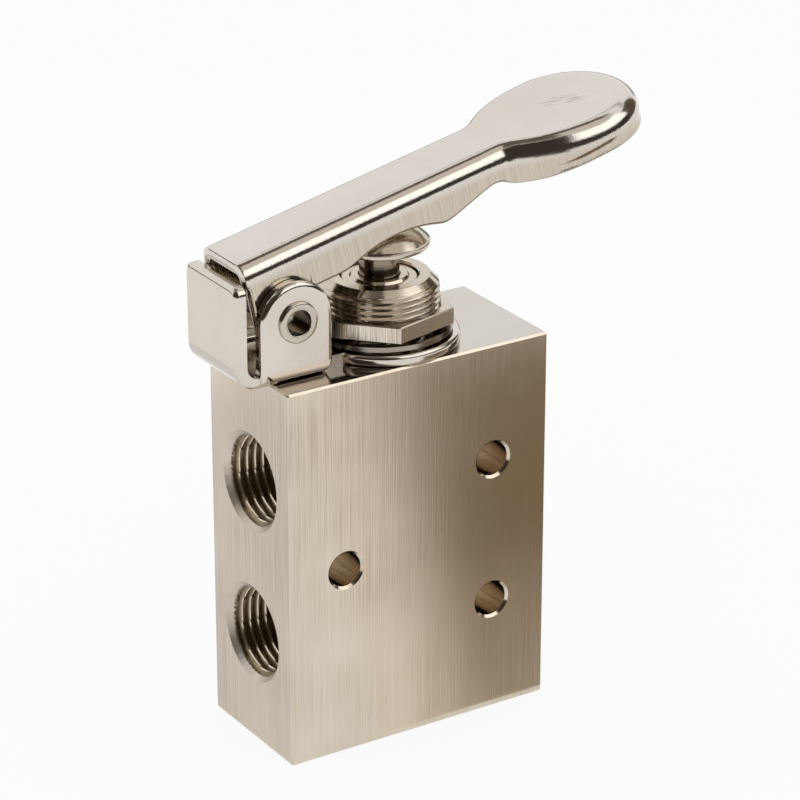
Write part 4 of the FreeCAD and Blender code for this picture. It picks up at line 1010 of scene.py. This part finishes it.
def pressed_lever():
    """Both sides of the sheet as one grid, closed at the heel, and tilted on to the pivot.

    In the valve's frame x = s cos(tilt) - n sin(tilt) and z = s sin(tilt) + n cos(tilt) from the pivot.
    """
    side = lever_side()
    whole = np.concatenate([side, (side * (1, -1, 1))[:, -2:0:-1]], 1)
    rows, columns = whole.shape[:2]
    s, w, n = whole[..., 0], whole[..., 1], whole[..., 2]
    points = np.stack([PIVOT_MM[0] + s * cos(TILT) - n * sin(TILT), w,
                       PIVOT_MM[2] + s * sin(TILT) + n * cos(TILT)], -1)
    outer = np.arange(side.shape[1] // 2)
    far = side.shape[1] - 1 - outer
    mirror_outer, mirror_far = (columns - outer) % columns, (columns - far) % columns
    heel = [np.stack([outer[:-1], outer[1:], far[1:], far[:-1]], -1),
            np.stack([mirror_outer[1:], mirror_outer[:-1], mirror_far[:-1], mirror_far[1:]], -1)]
    return points, np.concatenate([grid_faces(rows, columns, False, True), *heel])


# %% [markdown]
# ### Plate on the lever
#
# The lever is handled and wiped all its life. Its top is smooth and pale, its walls keep fine upright
# lines where the nickel is thin and warm, and the thumb has scuffed the pad. All of this is read in the
# lever's own frame, so that it follows the metal and not the room.

# %% Lever finish
# The wiping lines are drawn coarser than real ones, so that they show.
SCUFF_PLACE_MM, SCUFF_REACH_MM = (36.8, -0.6, 7.0), (3.3, 1.2, 1.0)
SCUFF_TURN = radians(-28)
WIPE_WIDTH_MM, WIPE_STRETCH, WIPE_TOP_MM, PLATE_PATCH_MM, PEEL_MM = 0.2, 25, (4.7, 5.4), 7, 0.2


def handled_nickel():
    """Nickel on the lever: smooth above, wiped with fine upright lines on the wall, scuffed on the pad.

    Everything is read in the lever's own frame, turned back by its tilt: s along it, w across and n up.
    """
    material, tree, output, place = new_material("nickel_plate_on_handled_lever")
    own = add_node(tree, "ShaderNodeMapping", {
        "Vector": place, "Location": [v * MM for v in PIVOT_MM], "Rotation": (0, -TILT, 0)},
        vector_type="TEXTURE").outputs[0]
    height = add_node(tree, "ShaderNodeSeparateXYZ", {0: own}).outputs["Z"]
    patches = add_node(tree, "ShaderNodeTexNoise", {
        "Vector": place, "Scale": 1 / (PLATE_PATCH_MM * MM), "Detail": 4.0})
    plate = add_node(tree, "ShaderNodeMix", {
        "Factor": patches.outputs[0], 6: linear("#dfd9d2"), 7: linear("#d0c8be")}, data_type="RGBA")

    wall = add_node(tree, "ShaderNodeMapRange", {
        "Value": height, "From Min": WIPE_TOP_MM[1] * MM, "From Max": WIPE_TOP_MM[0] * MM})
    fine = 1 / (WIPE_WIDTH_MM * MM)
    lines = add_node(tree, "ShaderNodeMapping", {"Vector": own, "Scale": (fine, fine, fine / WIPE_STRETCH)})
    wipes = add_node(tree, "ShaderNodeTexNoise", {"Vector": lines.outputs[0], "Scale": 1.0, "Detail": 3.0})
    wiped = add_node(tree, "ShaderNodeMath", {0: wipes.outputs[0], 1: wall.outputs[0]},
                     operation="MULTIPLY")
    warm = add_node(tree, "ShaderNodeMix", {
        "Factor": wiped.outputs[0], 6: plate.outputs[2], 7: linear("#b5a78f")}, data_type="RGBA")

    ellipse = add_node(tree, "ShaderNodeMapping", {
        "Vector": own, "Location": [v * MM for v in SCUFF_PLACE_MM], "Rotation": (0, 0, SCUFF_TURN),
        "Scale": [v * MM for v in SCUFF_REACH_MM]}, vector_type="TEXTURE")
    away = add_node(tree, "ShaderNodeVectorMath", {0: ellipse.outputs[0]}, operation="LENGTH")
    inside = add_node(tree, "ShaderNodeMapRange", {
        "Value": away.outputs["Value"], "From Min": 1.0, "From Max": 0.6})
    stroke = add_node(tree, "ShaderNodeMapping", {"Vector": ellipse.outputs[0], "Scale": (1.6, 5.0, 1.0)})
    marks = add_node(tree, "ShaderNodeTexNoise", {
        "Vector": stroke.outputs[0], "Scale": 1.0, "Detail": 6.0, "Roughness": 0.65, "Distortion": 0.8})
    marked = add_node(tree, "ShaderNodeMapRange", {
        "Value": marks.outputs[0], "From Min": 0.5, "From Max": 0.68})
    scuff = add_node(tree, "ShaderNodeMath", {0: marked.outputs[0], 1: inside.outputs[0]},
                     operation="MULTIPLY")
    peel = add_node(tree, "ShaderNodeTexNoise", {
        "Vector": place, "Scale": 1 / (PEEL_MM * MM), "Detail": 2.0})
    relief = add_node(tree, "ShaderNodeMath", {0: wiped.outputs[0], 1: peel.outputs[0]}, operation="ADD")
    rough = add_node(tree, "ShaderNodeMapRange", {"Value": scuff.outputs[0], "To Min": 0.13, "To Max": 0.5})
    end_in_metal(tree, output, scuff.outputs[0], (warm.outputs[2], "#5d554b"), rough.outputs[0],
                 relief.outputs[0], 0.14, 0.05)
    return material


lever = new_piece("thumb_lever", *pressed_lever(), smooth_under=40)
mount(lever, "lever", "lever", handled_nickel())

# %% [markdown]
# ## Last update
#
# The view layer is brought up to date at the end. The new pieces have to stay inside the room that the
# solids take.

# %% Last update
bpy.context.view_layer.update()
